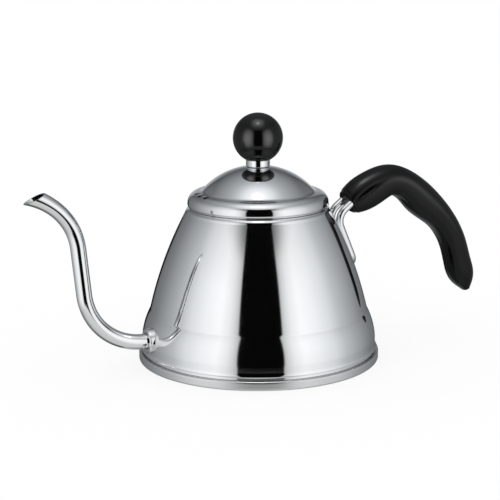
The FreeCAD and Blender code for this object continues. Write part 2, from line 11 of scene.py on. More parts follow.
import bmesh
import bpy
import numpy as np
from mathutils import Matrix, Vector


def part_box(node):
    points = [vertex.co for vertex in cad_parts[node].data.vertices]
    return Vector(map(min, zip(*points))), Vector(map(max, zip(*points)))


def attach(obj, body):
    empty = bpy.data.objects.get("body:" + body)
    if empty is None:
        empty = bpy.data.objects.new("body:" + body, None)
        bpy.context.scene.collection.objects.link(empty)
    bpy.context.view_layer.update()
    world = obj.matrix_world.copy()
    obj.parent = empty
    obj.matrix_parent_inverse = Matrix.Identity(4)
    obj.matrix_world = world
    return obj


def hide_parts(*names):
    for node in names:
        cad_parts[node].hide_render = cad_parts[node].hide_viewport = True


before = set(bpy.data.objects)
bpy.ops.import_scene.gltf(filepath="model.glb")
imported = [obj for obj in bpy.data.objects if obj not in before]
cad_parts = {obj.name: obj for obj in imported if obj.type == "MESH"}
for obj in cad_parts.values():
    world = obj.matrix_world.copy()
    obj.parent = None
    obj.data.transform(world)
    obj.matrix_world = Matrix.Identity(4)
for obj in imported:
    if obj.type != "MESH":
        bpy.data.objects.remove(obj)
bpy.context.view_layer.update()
print("nodes in the frame:", len(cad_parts))

# %% [markdown]
# ## Sizes
# A maker works in millimetres and Blender in metres, so shapes are worked out in millimetres and scaled
# once, when a mesh is made. The outer sizes could be typed in again, but they are read from the frame's
# boxes, so that the looks follow the construction. A few of them are then taken in by a fraction of a
# millimetre.

# %% Sizes from the frame
MM = 0.001
SHEET = 0.8
TRIM = 0.4


def box_mm(node):
    """Lowest and highest corner of a construction node, in millimetres."""
    low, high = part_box(node)
    return np.array(low) / MM, np.array(high) / MM


pan_high = box_mm("base_pan")[1]
shell_high = box_mm("body_shell")[1]
lid_high = box_mm("lid_dome")[1]
tube_high = box_mm("spout_tube")[1]
skirt_low, skirt_high = box_mm("lid_skirt")
ball_low, ball_high = box_mm("knob_ball")
spacer_low, spacer_high = box_mm("knob_collar")
flange_low, flange_high = box_mm("spout_collar")
screw_low, screw_high = box_mm("knob_screw")
washer_low, washer_high = box_mm("knob_washer")

base_radius = pan_high[0] - TRIM / 2
bead_height = pan_high[2]
band_radius = shell_high[0] - TRIM
seat_height = shell_high[2]
rim_radius = lid_high[0] - TRIM / 2
knob_seat = lid_high[2]
tube_radius = tube_high[1] - TRIM / 2
root_height = (flange_low[2] + flange_high[2]) / 2
print("base radius", round(base_radius, 2), "lid seat at", round(seat_height, 2), "mm")

# %% [markdown]
# ## Surfaces
# Spinning and rolling give a kettle its round pieces, so most of them are one outline carried round the
# axis. A modifier could spin a drawn curve. Here a grid of points is worked out with numpy instead,
# because the spacing of the points decides how clean a reflection is. An outline is a list of corners. A
# corner may carry the radius of the arc to the next one: positive bulges to the right of the way round,
# negative to the left.

# %% Outlines
STEP = 0.7


def outline(corners, step=STEP):
    """Closed outline of (radius, height) points about one step apart.

    An arc of radius R between A and B has its centre on the line halfway between them,
    sqrt(R^2 - (|AB| / 2)^2) from the middle of AB.
    """
    parts = []
    for number, corner in enumerate(corners):
        start = np.array(corner[:2], float)
        end = np.array(corners[(number + 1) % len(corners)][:2], float)
        chord = end - start
        length = np.linalg.norm(chord)
        if len(corner) == 2:
            share = np.linspace(0, 1, max(2, int(length / step) + 1), endpoint=False)
            parts.append(start + share[:, None] * chord)
            continue
        radius = abs(corner[2])
        side = math.copysign(1, corner[2])
        across = np.array([-chord[1], chord[0]]) / length * side
        centre = (start + end) / 2 + across * math.sqrt(max(radius ** 2 - length ** 2 / 4, 0))
        first = math.atan2(*(start - centre)[::-1])
        last = math.atan2(*(end - centre)[::-1])
        turn = (last - first + math.pi) % (2 * math.pi) - math.pi
        count = max(6, int(abs(turn) * radius / step) + 1)
        angle = first + turn * np.linspace(0, 1, count, endpoint=False)
        parts.append(centre + radius * np.stack([np.cos(angle), np.sin(angle)], 1))
    return np.concatenate(parts)


print("outline points lie about", STEP, "mm apart")

# %% Grids of points to meshes
SHARP_ANGLE = 35
MERGE_DISTANCE = 1e-7


def add_object(name, data):
    """Object in the scene for a mesh, a light or a camera."""
    obj = bpy.data.objects.new(name, data)
    bpy.context.scene.collection.objects.link(obj)
    return obj


def smooth(obj, sharp):
    """Smooth shading, with edges sharper than an angle in degrees kept crisp."""
    mesh = obj.data
    mesh.polygons.foreach_set("use_smooth", np.ones(len(mesh.polygons), bool))
    mesh.set_sharp_from_angle(angle=math.radians(sharp))
    mesh.update()


def surface(name, grid, wrap_rows=True, sharp=SHARP_ANGLE, dull_shade_mask=None):
    """Mesh of a grid of points in millimetres, shape (rows, columns, 3), with columns closed round.

    Each face joins the points (i, j), (i, j + 1), (i + 1, j + 1) and (i + 1, j). The optional values of
    dull_shade_mask, one for each point, become an attribute that a material can read.
    """
    rows, columns = grid.shape[:2]
    index = np.arange(rows * columns).reshape(rows, columns)
    index = np.concatenate([index, index[:, :1]], 1)
    if wrap_rows:
        index = np.concatenate([index, index[:1]], 0)
    faces = np.stack([index[:-1, :-1], index[:-1, 1:], index[1:, 1:], index[1:, :-1]], -1)
    mesh = bpy.data.meshes.new(name)
    mesh.from_pydata((grid.reshape(-1, 3) * MM).tolist(), [], faces.reshape(-1, 4).tolist())
    if dull_shade_mask is not None:
        mesh.attributes.new("dull_shade_mask", "FLOAT", "POINT").data.foreach_set("value", dull_shade_mask.ravel())
    work = bmesh.new()
    work.from_mesh(mesh)
    bmesh.ops.remove_doubles(work, verts=work.verts, dist=MERGE_DISTANCE)
    bmesh.ops.recalc_face_normals(work, faces=work.faces)
    work.to_mesh(mesh)
    work.free()
    obj = add_object(name, mesh)
    smooth(obj, sharp)
    return obj


print("edges over", SHARP_ANGLE, "degrees stay crisp")

# %% Turned pieces
SIDES = 224


def circle(count):
    """Angles of points evenly spaced round a circle: 2 pi k / count."""
    return np.arange(count) * 2 * math.pi / count


def turned(name, points, sides=SIDES):
    """Surface of revolution about Z: (r cos a, r sin a, z) for each outline point and angle a."""
    angle = circle(sides)
    radius = points[:, :1]
    height = points[:, 1:]
    grid = np.stack([radius * np.cos(angle), radius * np.sin(angle), height + 0 * angle], -1)
    return surface(name, grid)


print("a turned piece has", SIDES, "sides")

# %% [markdown]
# ## Shared effects
# Three effects turn up on more than one finish. Polishing leaves fine lines round the turned axis, hands
# and cloths leave broad faint patches on steel, and a mould gives black plastic a fine skin with slow
# changes of gloss. Each could be built again in every material. As a node group it is built once and
# takes its own values in each material, and all of it reads Object coordinates, so that it stays on the
# piece.

# %% Node helpers
def socket_value(node, name, value):
    """Sets an input socket's own value."""
    node.inputs[name].default_value = value


def feed(tree, value, socket):
    """Feeds an input from another socket, or sets its own value. Nothing is done for None."""
    if isinstance(value, bpy.types.NodeSocket):
        tree.links.new(value, socket)
    elif value is not None:
        socket.default_value = value


def math_node(tree, operation, *values):
    """Math node fed by sockets or numbers; returns its output."""
    node = tree.nodes.new("ShaderNodeMath")
    node.operation = operation
    for number, value in enumerate(values):
        feed(tree, value, node.inputs[number])
    return node.outputs[0]


def vector_node(tree, operation, *vectors):
    """Vector math node fed by sockets or fixed vectors; returns its outputs."""
    node = tree.nodes.new("ShaderNodeVectorMath")
    node.operation = operation
    for number, vector in enumerate(vectors):
        feed(tree, vector, node.inputs[number])
    return node.outputs


def split_node(tree, vector):
    """Separates a vector; returns the outputs X, Y and Z."""
    node = tree.nodes.new("ShaderNodeSeparateXYZ")
    tree.links.new(vector, node.inputs[0])
    return node.outputs


def noise_node(tree, vector, scale, detail, dimensions="3D"):
    """Noise texture read at a vector, or at a single value in one dimension; returns its factor."""
    node = tree.nodes.new("ShaderNodeTexNoise")
    node.noise_dimensions = dimensions
    tree.links.new(vector, node.inputs["W" if dimensions == "1D" else "Vector"])
    feed(tree, scale, node.inputs["Scale"])
    socket_value(node, "Detail", detail)
    return node.outputs[0]


def ramp_node(tree, factor, stops, interpolation="LINEAR"):
    """Colour ramp from (position, grey) stops; returns its colour."""
    node = tree.nodes.new("ShaderNodeValToRGB")
    node.color_ramp.interpolation = interpolation
    elements = node.color_ramp.elements
    for position, _ in stops[2:]:
        elements.new(position)
    for element, (position, grey) in zip(elements, stops):
        element.position = position
        element.color = (grey, grey, grey, 1)
    tree.links.new(factor, node.inputs["Fac"])
    return node.outputs["Color"]


print("node helpers ready")

# %% Effect groups
VECTOR = "NodeSocketVector"
FLOAT = "NodeSocketFloat"
LINE_SCALE = 2600.0
WAVE_SCALE = 34.0
PATCH_SCALE = 26.0
PATCH_EDGE = [(0.42, 0.0), (0.72, 1.0)]
GRAIN_SCALE = 1500.0
GLOSS_SCALE = 60.0


def new_group(name, scale_name, scale, outputs):
    """Node group that reads a vector and a scale: returns its tree, what it is given and its results."""
    tree = bpy.data.node_groups.new(name, "ShaderNodeTree")
    tree.interface.new_socket("Vector", in_out="INPUT", socket_type=VECTOR)
    tree.interface.new_socket(scale_name, in_out="INPUT", socket_type=FLOAT).default_value = scale
    for label in outputs:
        tree.interface.new_socket(label, in_out="OUTPUT", socket_type=FLOAT)
    return tree, tree.nodes.new("NodeGroupInput").outputs, tree.nodes.new("NodeGroupOutput").inputs


def polish_group():
    """Fine lines round the Z axis: noise of (z - radius), which is the same all round a turned piece."""
    tree, given, result = new_group("turned_polish", "Scale", LINE_SCALE, ["Lines", "Waves"])
    flat = vector_node(tree, "MULTIPLY", given["Vector"], (1, 1, 0))
    radius = vector_node(tree, "LENGTH", flat[0])["Value"]
    along = math_node(tree, "SUBTRACT", split_node(tree, given["Vector"])["Z"], radius)
    scaled = math_node(tree, "MULTIPLY", along, given["Scale"])
    tree.links.new(noise_node(tree, scaled, 1.0, detail=2.0, dimensions="1D"), result["Lines"])
    tree.links.new(noise_node(tree, given["Vector"], WAVE_SCALE, detail=1.0), result["Waves"])
    return tree


def handling_group():
    """Broad faint patches where hands and cloths have been, from 0 (clean) to 1."""
    tree, given, result = new_group("handling", "Scale", PATCH_SCALE, ["Patches"])
    cloud = noise_node(tree, given["Vector"], given["Scale"], detail=4.0)
    tree.links.new(ramp_node(tree, cloud, PATCH_EDGE), result["Patches"])
    return tree


def skin_group():
    """Moulded plastic: a fine skin height and slow gloss changes."""
    tree, given, result = new_group("moulded_skin", "Grain", GRAIN_SCALE, ["Height", "Gloss"])
    tree.links.new(noise_node(tree, given["Vector"], given["Grain"], detail=3.0), result["Height"])
    tree.links.new(noise_node(tree, given["Vector"], GLOSS_SCALE, detail=3.0), result["Gloss"])
    return tree


polish = polish_group()
handling = handling_group()
skin = skin_group()
print("effect groups:", polish.name, handling.name, skin.name)

# %% [markdown]
# ## Metals
# The kettle is stainless steel, mirror polished outside and left satin inside. The spacer is chromed and
# the bush in the ball is brass. Each finish could have a node tree of its own, but they differ only in
# tone, in smoothness and in the height of their lines. So one recipe makes them all, and a call gives the
# values.

# %% Parts of a material
def bare_material(name):
    """Material with nothing but its output: returns the material, its tree and the surface socket."""
    material = bpy.data.materials.new(name)
    material.use_nodes = True
    tree = material.node_tree
    tree.nodes.clear()
    output = tree.nodes.new("ShaderNodeOutputMaterial")
    return material, tree, output.inputs["Surface"]


def new_material(name):
    """Principled material: returns it, its tree, the shader's inputs and its Object coordinates."""
    material, tree, result = bare_material(name)
    shader = tree.nodes.new("ShaderNodeBsdfPrincipled")
    tree.links.new(shader.outputs[0], result)
    return material, tree, shader.inputs, tree.nodes.new("ShaderNodeTexCoord").outputs["Object"]


def use_group(tree, group, vector, **values):
    """Group node reading a vector, with its other sockets set; returns its outputs."""
    node = tree.nodes.new("ShaderNodeGroup")
    node.node_tree = group
    tree.links.new(vector, node.inputs["Vector"])
    for label, value in values.items():
        socket_value(node, label, value)
    return node.outputs


def mix_tone(tree, factor, first, second):
    """Mixes two colours by a factor; returns the colour."""
    node = tree.nodes.new("ShaderNodeMix")
    node.data_type = "RGBA"
    tree.links.new(factor, node.inputs[0])
    node.inputs[6].default_value = (*first, 1)
    node.inputs[7].default_value = (*second, 1)
    return node.outputs[2]


def bump_node(tree, height, distance, normal=None):
    """Bump from a height, over a distance in millimetres; returns the normal."""
    node = tree.nodes.new("ShaderNodeBump")
    socket_value(node, "Distance", distance * MM)
    tree.links.new(height, node.inputs["Height"])
    feed(tree, normal, node.inputs["Normal"])
    return node.outputs["Normal"]


print("material parts ready")

# %% Recipe of the metals
EVEN_SHARE = 0.7
LINE_SHARE = 0.6


def metal(name, tone, dull_tone, roughness, patch_roughness, line_height, wave_height, scale=LINE_SCALE):
    """Metal with turned lines, slow waves in the sheet and handling patches, heights in millimetres.

    Its roughness is roughness (EVEN_SHARE + LINE_SHARE lines) + patch_roughness patches.
    """
    material, tree, shader, place = new_material(name)
    lines = use_group(tree, polish, place, Scale=scale)
    patches = use_group(tree, handling, place)["Patches"]
    tree.links.new(mix_tone(tree, patches, tone, dull_tone), shader["Base Color"])
    shader["Metallic"].default_value = 1.0
    clean = math_node(tree, "MULTIPLY_ADD", lines["Lines"], roughness * LINE_SHARE, roughness * EVEN_SHARE)
    tree.links.new(math_node(tree, "MULTIPLY_ADD", patches, patch_roughness, clean), shader["Roughness"])
    fine = bump_node(tree, lines["Lines"], line_height)
    tree.links.new(bump_node(tree, lines["Waves"], wave_height, fine), shader["Normal"])
    return material


print("metal recipe ready")

# %% Metals of the kettle
mirror_steel = metal("mirror_steel", tone=(0.77, 0.775, 0.785), dull_tone=(0.745, 0.75, 0.755),
                     roughness=0.05, patch_roughness=0.025, line_height=0.0006, wave_height=0.004)
lid_steel = metal("lid_mirror", tone=(0.73, 0.735, 0.745), dull_tone=(0.70, 0.705, 0.715),
                  roughness=0.06, patch_roughness=0.03, line_height=0.0006, wave_height=0.004)
base_steel = metal("base_satin", tone=(0.66, 0.665, 0.67), dull_tone=(0.61, 0.615, 0.62),
                   roughness=0.30, patch_roughness=0.06, line_height=0.003, wave_height=0.003)
# Near-black steel for the slots' walls: painted shade inside the slots.
slot_shade_steel = metal("slot_shadow", tone=(0.10, 0.102, 0.104), dull_tone=(0.08, 0.082, 0.084),
                   roughness=0.30, patch_roughness=0.05, line_height=0.001, wave_height=0.002)
spout_steel = metal("spout_mirror", tone=(0.78, 0.785, 0.79), dull_tone=(0.75, 0.755, 0.76),
                    roughness=0.07, patch_roughness=0.03, line_height=0.0005, wave_height=0.003)
rod_steel = metal("rod_mirror", tone=(0.76, 0.765, 0.77), dull_tone=(0.73, 0.735, 0.74),
                  roughness=0.08, patch_roughness=0.04, line_height=0.0005, wave_height=0.003)
satin_steel = metal("satin_inside", tone=(0.60, 0.605, 0.61), dull_tone=(0.53, 0.535, 0.54),
                    roughness=0.30, patch_roughness=0.08, line_height=0.004, wave_height=0.004, scale=1900.0)
chrome = metal("bright_chrome", tone=(0.80, 0.805, 0.815), dull_tone=(0.77, 0.775, 0.785),
               roughness=0.045, patch_roughness=0.02, line_height=0.0004, wave_height=0.001)
brass = metal("turned_brass", tone=(0.78, 0.57, 0.28), dull_tone=(0.66, 0.46, 0.21),
              roughness=0.26, patch_roughness=0.10, line_height=0.003, wave_height=0.002, scale=3200.0)
screw_steel = metal("screw_steel", tone=(0.62, 0.62, 0.61), dull_tone=(0.55, 0.55, 0.54),
                    roughness=0.26, patch_roughness=0.10, line_height=0.003, wave_height=0.001, scale=3800.0)
print("metals made, from", mirror_steel.name, "to", screw_steel.name)

# %% [markdown]
# ## Black plastics
# Grip and ball are moulded in black phenolic. The ball is buffed to a gloss. The grip has a softer sheen.
# Its hollows, which a buffing wheel can't reach, are rougher, and there the black is also painted as
# shade that sends back next to nothing. A second material could be laid in the hollows, but its border
# would show as a hard line. So the grip's mesh carries a soft value, and the material reads it.

# %% Plastics of the kettle
PHENOLIC_IOR = 1.6


def plastic(name, tone, worn_tone, roughness, gloss_change, skin_height, level, grain, unpolished=0.0):
    """Black moulded plastic with a fine skin and slow gloss changes.

    Where the attribute dull_shade_mask nears 1, the roughness rises by unpolished. There the black tone is
    also taken for the colour of a metal, so that it sends back next to nothing: painted shade in the
    hollows.
    """
    material, tree, shader, place = new_material(name)
    moulded = use_group(tree, skin, place, Grain=grain)
    tree.links.new(mix_tone(tree, moulded["Gloss"], tone, worn_tone), shader["Base Color"])
    rough = math_node(tree, "MULTIPLY_ADD", moulded["Gloss"], gloss_change, roughness)
    if unpolished:
        dull_shade_mask = tree.nodes.new("ShaderNodeAttribute")
        dull_shade_mask.attribute_name = "dull_shade_mask"
        rough = math_node(tree, "MULTIPLY_ADD", dull_shade_mask.outputs["Fac"], unpolished, rough)
        # Painted shade: where the mask is high, the black becomes a metal that sends back next to nothing.
        tree.links.new(dull_shade_mask.outputs["Fac"], shader["Metallic"])
    tree.links.new(rough, shader["Roughness"])
    shader["IOR"].default_value = PHENOLIC_IOR
    shader["Specular IOR Level"].default_value = level
    tree.links.new(bump_node(tree, moulded["Height"], skin_height), shader["Normal"])
    return material


grip_black = plastic("grip_black", tone=(0.0018, 0.0018, 0.0021), worn_tone=(0.003, 0.003, 0.0035),
                     roughness=0.22, gloss_change=0.10, skin_height=0.004, level=0.14, grain=1500.0,
                     unpolished=0.15)
ball_black = plastic("ball_black", tone=(0.0006, 0.0006, 0.0007), worn_tone=(0.0012, 0.0012, 0.0014),
                     roughness=0.09, gloss_change=0.05, skin_height=0.0012, level=0.20, grain=1200.0)
print("plastics made:", grip_black.name, ball_black.name)

# %% [markdown]
# ## Base
# The base pan is a disc of thicker sheet with a shallow groove pressed into its underside. Its edge is
# rolled into a bead round the shell's foot. It could be a cylinder with bevels, but the bead has two
# different roundings, so its section is drawn with arcs and turned.

# %% Base pan
PAN_SHEET = 1.4
BEAD_ROUND = 1.1
BEAD_FOOT = 0.9
BEAD_BACK = 1.8
BEAD_CROWN = 0.4
GROOVE = (58.0, 58.5, 68.5, 69.0)
GROOVE_DEPTH = 0.5


def dress(obj, body, slot, nodes, *materials):
    """Gives a piece any further materials, its body and the nodes that it stands for; the slot is not used.
    """
    for material in materials:
        obj.data.materials.append(material)
    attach(obj, body)
    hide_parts(*nodes)
    print(obj.name, "rides on", body, "with", len(obj.data.polygons), "faces")


def make_base():
    """Turned section: flat bottom with a pressed groove, then the bead."""
    inside = base_radius - BEAD_BACK
    top = bead_height + BEAD_CROWN
    corners = [(0, 0), (GROOVE[0], 0), (GROOVE[1], GROOVE_DEPTH), (GROOVE[2], GROOVE_DEPTH), (GROOVE[3], 0),
               (base_radius - BEAD_FOOT, 0, BEAD_FOOT), (base_radius, BEAD_FOOT),
               (base_radius, top - BEAD_ROUND, BEAD_ROUND), (base_radius - BEAD_ROUND, top), (inside, top),
               (inside, PAN_SHEET), (0, PAN_SHEET)]
    return turned("beaded_base", outline(corners, step=0.5))


dress(make_base(), "vessel", "polished_steel", ["base_pan"], base_steel)

# %% [markdown]
# ## Shell
# The shell is spun from one sheet. It curls out a little above the bead, rises as an upright band, bends
# in softly to a slightly bowed cone and rolls in at the top to the seat of the lid. Outside it is a
# mirror, inside it stays satin. A screw modifier could turn the section, but a grid worked out here has
# its points where the arcs need them. Faces that look inwards get the satin finish, and then a boolean
# cuts the hole for the spout.

# %% Cutters
def prism(name, loop, low, high):
    """Closed upright prism over a loop of (x, y) points in millimetres, used as a cutter."""
    count = len(loop)
    bottom = np.column_stack([loop, np.full(count, low)])
    top = np.column_stack([loop, np.full(count, high)])
    here = np.arange(count)
    after = np.roll(here, -1)
    faces = np.stack([here, after, after + count, here + count], 1).tolist()
    faces += [here[::-1].tolist(), (here + count).tolist()]
    mesh = bpy.data.meshes.new(name)
    mesh.from_pydata((np.concatenate([bottom, top]) * MM).tolist(), [], faces)
    return add_object(name, mesh)


def cut(obj, *cutters, sharp=SHARP_ANGLE):
    """Takes the cutters out of a piece and deletes them."""
    for cutter in cutters:
        tool = obj.modifiers.new("cut", "BOOLEAN")
        tool.operation = "DIFFERENCE"
        tool.solver = "EXACT"
        tool.object = cutter
    graph = bpy.context.evaluated_depsgraph_get()
    mesh = bpy.data.meshes.new_from_object(obj.evaluated_get(graph))
    obj.modifiers.clear()
    mesh.name = obj.name
    obj.data = mesh
    for cutter in cutters:
        bpy.data.objects.remove(cutter)
    smooth(obj, sharp)


def face_data(obj):
    """Centres in millimetres and normals of a piece's faces."""
    faces = obj.data.polygons
    centres = np.empty(len(faces) * 3)
    normals = np.empty(len(faces) * 3)
    faces.foreach_get("center", centres)
    faces.foreach_get("normal", normals)
    return centres.reshape(-1, 3) / MM, normals.reshape(-1, 3)


print("cutters ready")

# %% Section of the shell
BAND_TOP = 14.0
BAND_BOW = 41.7
CURL_OUT = 0.9
CURL_LOW = 7.2
CURL_BEND = 0.2
CURL_EDGE = 0.3
CURL_BOW = 3.2
CURL_TOP = 9.6
STEP_POINT = (67.6, 31.0)
CONE_BOW = 250.0
SHOULDER = (44.6, 92.4)
SHOULDER_BOW = 3.6
SEAT_OUT = 42.2
MOUTH_RADIUS = 38.6
MOUTH_LIP = 7.0


def shell_corners():
    """Closed section of the shell, up the outside and down the inside."""
    curl_radius = band_radius + CURL_OUT
    outside = [(band_radius, PAN_SHEET), (band_radius, CURL_LOW - CURL_BEND), (curl_radius, CURL_LOW),
               (curl_radius, CURL_LOW + CURL_EDGE, -CURL_BOW), (band_radius, CURL_TOP),
               (band_radius, BAND_TOP, BAND_BOW), (*STEP_POINT, CONE_BOW),
               (*SHOULDER, SHOULDER_BOW), (SEAT_OUT, seat_height)]
    lip = [(MOUTH_RADIUS, seat_height), (MOUTH_RADIUS, seat_height - MOUTH_LIP),
           (MOUTH_RADIUS + SHEET, seat_height - MOUTH_LIP), (MOUTH_RADIUS + SHEET, seat_height - SHEET)]
    inside = [(SEAT_OUT, seat_height - SHEET, SHEET - SHOULDER_BOW),
              (SHOULDER[0] - SHEET, SHOULDER[1], -CONE_BOW),
              (STEP_POINT[0] - SHEET, STEP_POINT[1], -BAND_BOW),
              (band_radius - SHEET, BAND_TOP), (band_radius - SHEET, PAN_SHEET)]
    return outside, lip, inside


print("shell has", sum(len(part) for part in shell_corners()), "corners in its section")

# %% Shell
HOLE_RADIUS = 5.0
HOLE_SIDES = 48
HOLE_REACH = (60, 80)
FACING_DOWN = -0.9


def satin_faces(obj):
    """Faces that look inwards, or down below the lip, as 0 or 1."""
    centres, normals = face_data(obj)
    inward = (centres[:, :2] * normals[:, :2]).sum(1) < 0
    below = centres[:, 2] < seat_height - MOUTH_LIP
    return (inward | below & (normals[:, 2] < FACING_DOWN)).astype(np.int32)


def make_shell():
    """Turned shell, satin inside, with the spout's hole cut by a level round bar."""
    outside, lip, inside = shell_corners()
    obj = turned("polished_shell", outline(outside + lip + inside))
    obj.data.materials.append(mirror_steel)
    obj.data.materials.append(satin_steel)
    obj.data.polygons.foreach_set("material_index", satin_faces(obj))
    angle = circle(HOLE_SIDES)
    loop = HOLE_RADIUS * np.stack([np.cos(angle), np.sin(angle)], 1)
    cutter = prism("hole_cutter", loop, *HOLE_REACH)
    cutter.rotation_euler = (0, -math.pi / 2, 0)
    cutter.location = (0, 0, root_height * MM)
    bpy.context.view_layer.update()
    cut(obj, cutter)
    return obj


dress(make_shell(), "vessel", "polished_steel", ["body_shell"])

# %% [markdown]
# ## Spout
# The spout is a thin tube bent on a former: level out of the wall, up through nearly a right angle, a
# straight climb with a slight lean, and over into a mouth cut off at a slant. A curve with a round bevel
# would give the tube, but not the slanted cut or the wall's thickness. So inside and outside are swept as
# rows of rings, and each line of the tube is ended on the plane of the mouth.

# %% Spout tube
ROOT_START = 69.8
BEND_START = 76.5
LOW_BEND = 36.6
TOP_BEND = 36.3
LEAN = math.radians(5.6)
RISER = 28.4
TUBE_WALL = 0.7
TUBE_SIDES = 64
ROOT_ROWS = 12
LOW_ROWS = 60
RISER_ROWS = 30
TOP_ROWS = 70
MOUTH_SLANT = math.radians(24.4)
MOUTH_POINT = np.array([-147.18, 106.93])
TIP_LIFT = 1.0
TIP_POWER = 5


def make_spout():
    """Tube swept in the plane y = 0, inside and outside, joined round the slanted mouth.

    On the top bend a point at tube angle a reaches the mouth plane where
    cos(turn - plane angle) = k / (R - r cos a), so each line of the tube ends on that plane.
    The last stretch is lifted by a power of its share, so that the tip points up a little.
    """
    angle = circle(TUBE_SIDES)
    low_centre = np.array([-BEND_START, root_height + LOW_BEND])
    low_turn = np.linspace(0, math.pi / 2 - LEAN, LOW_ROWS, endpoint=False)
    low_end = low_centre + LOW_BEND * np.array([-math.cos(LEAN), -math.sin(LEAN)])
    climb = np.array([-math.sin(LEAN), math.cos(LEAN)])
    top_start = low_end + RISER * climb
    top_centre = top_start - TOP_BEND * np.array([math.cos(LEAN), math.sin(LEAN)])
    across = np.array([-math.sin(MOUTH_SLANT), math.cos(MOUTH_SLANT)])
    reach = across @ (MOUTH_POINT - top_centre)
    plane_angle = math.atan2(across[1], across[0])

    def lines(radius):
        """Rows of points from the root to the mouth for one tube radius."""
        out = radius * np.cos(angle)
        side = radius * np.sin(angle)
        start_x = -np.linspace(ROOT_START, BEND_START, ROOT_ROWS, endpoint=False)[:, None]
        root = np.stack([start_x + 0 * out, 0 * start_x + side, root_height + 0 * start_x - out], -1)
        swing = -math.pi / 2 - low_turn[:, None]
        spread = LOW_BEND + out
        low = np.stack([low_centre[0] + spread * np.cos(swing), 0 * swing + side,
                        low_centre[1] + spread * np.sin(swing)], -1)
        rise = np.linspace(0, RISER, RISER_ROWS, endpoint=False)[:, None]
        riser = np.stack([low_end[0] + rise * climb[0] - out * math.cos(LEAN), 0 * rise + side,
                          low_end[1] + rise * climb[1] - out * math.sin(LEAN)], -1)
        spread = TOP_BEND - out
        last = plane_angle - np.arccos(np.clip(reach / spread, -1, 1))
        share = np.linspace(0, 1, TOP_ROWS)[:, None]
        turn = LEAN + share * (last - LEAN)
        lift = TIP_LIFT * share ** TIP_POWER
        top = np.stack([top_centre[0] + spread * np.cos(turn), 0 * turn + side,
                        top_centre[1] + spread * np.sin(turn) + lift], -1)
        return np.concatenate([root, low, riser, top])

    outer = lines(tube_radius)
    inner = lines(tube_radius - TUBE_WALL)[::-1]
    return surface("gooseneck_tube", np.concatenate([outer, inner]))


dress(make_spout(), "vessel", "spout_steel", ["spout_tube"], spout_steel)

# %% [markdown]
# A short round flange is welded over the joint between tube and wall. It could be a plain ring pushed
# into the wall, but then its back would show inside the kettle. So its back rings are laid on the wall
# itself.

# %% Spout flange
FLANGE_ROUND = 0.9
FLANGE_OVER = 0.6
FLANGE_THIN = 0.7
FLANGE_GAP = 0.05
FLANGE_SIDES = 96
FLANGE_ROWS = 8


def make_flange():
    """Rings about the tube's level root, with a quarter round at the front edge.

    The back rings lie on the wall x = -sqrt(r(z)^2 - y^2).
    """
    wall = outline(shell_corners()[0], step=0.3)
    wall = wall[:np.argmax(wall[:, 1])]
    angle = circle(FLANGE_SIDES)
    reach = -flange_low[0] - FLANGE_THIN
    radius = flange_high[1] + FLANGE_OVER

    def ring(size, level=None):
        """One ring of the flange, on the wall if no level is given."""
        y = size * np.cos(angle)
        z = root_height + size * np.sin(angle)
        on_wall = np.sqrt(np.interp(z, wall[:, 1], wall[:, 0]) ** 2 - y ** 2) + FLANGE_GAP
        x = on_wall if level is None else np.full_like(y, level)
        return np.stack([-x, y, z], -1)

    rings = [ring(HOLE_RADIUS), ring(radius)]
    rings += [ring(radius - FLANGE_ROUND * (1 - math.cos(bend)), reach - FLANGE_ROUND * (1 - math.sin(bend)))
              for bend in np.linspace(0, math.pi / 2, FLANGE_ROWS)]
    rings += [ring(HOLE_RADIUS, reach)]
    return surface("root_flange", np.stack(rings))


dress(make_flange(), "vessel", "spout_steel", ["spout_collar"], spout_steel)

# %% [markdown]
# ## Handle bracket
# One polished rod is bent to a U and welded to the cone: down the wall, round a closed foot and up again.
# Near the top each leg bends outwards into the grip. A bevelled curve could follow that path, but its
# ring of points may twist where bends lie in different planes. Here each point of the path has its own
# two directions, so the tube stays straight along its length.

# %% Path of the rod
ROD_RADIUS = 2.4
LEG_SIDE = 5.8
ROD_BEND = 9.5
ROD_GAP = 0.1
TOUCH_HEIGHT = 70.0
FOOT_HEIGHT = 58.8
LEG_IN_GRIP = 5.0
GRIP_SLOPE = math.radians(38)
FACE_POINT = np.array([61.0, 92.5])


def rod_path():
    """Corners and directions of one leg, in the plane of reach and height, from the foot up into the grip.

    The leg touches the cone's bow at one height and follows its tangent there. The bend of radius R between
    leg and grip starts R tan(turn / 2) before their corner.
    """
    low = np.array(STEP_POINT)
    high = np.array(SHOULDER)
    chord = high - low
    length = np.linalg.norm(chord)
    inward = np.array([-chord[1], chord[0]]) / length
    centre = (low + high) / 2 + inward * math.sqrt(CONE_BOW ** 2 - length ** 2 / 4)
    rise = math.asin((TOUCH_HEIGHT - centre[1]) / CONE_BOW)
    out = np.array([math.cos(rise), math.sin(rise)])
    up = np.array([-out[1], out[0]])
    touch_radius = centre[0] + CONE_BOW * out[0]
    touch = np.array([math.sqrt(touch_radius ** 2 - LEG_SIDE ** 2), TOUCH_HEIGHT])
    touch = touch + (ROD_RADIUS + ROD_GAP) * out
    foot = touch + up * (FOOT_HEIGHT - TOUCH_HEIGHT) / up[1]
    away = np.array([math.cos(GRIP_SLOPE), math.sin(GRIP_SLOPE)])
    end = FACE_POINT + LEG_IN_GRIP * away
    share = np.linalg.solve(np.stack([up, -away], 1), FACE_POINT - foot)
    corner = foot + share[0] * up
    turn = math.acos(up @ away)
    back = ROD_BEND * math.tan(turn / 2)
    return foot, corner - back * up, corner + back * away, end, up, away, out, turn


print("legs bend by", round(math.degrees(rod_path()[-1]), 1), "degrees into the grip")

# %% Bracket rod
ROD_SIDES = 40
LEG_ROWS = 30
BEND_ROWS = 24
END_ROWS = 14
FOOT_ROWS = 42


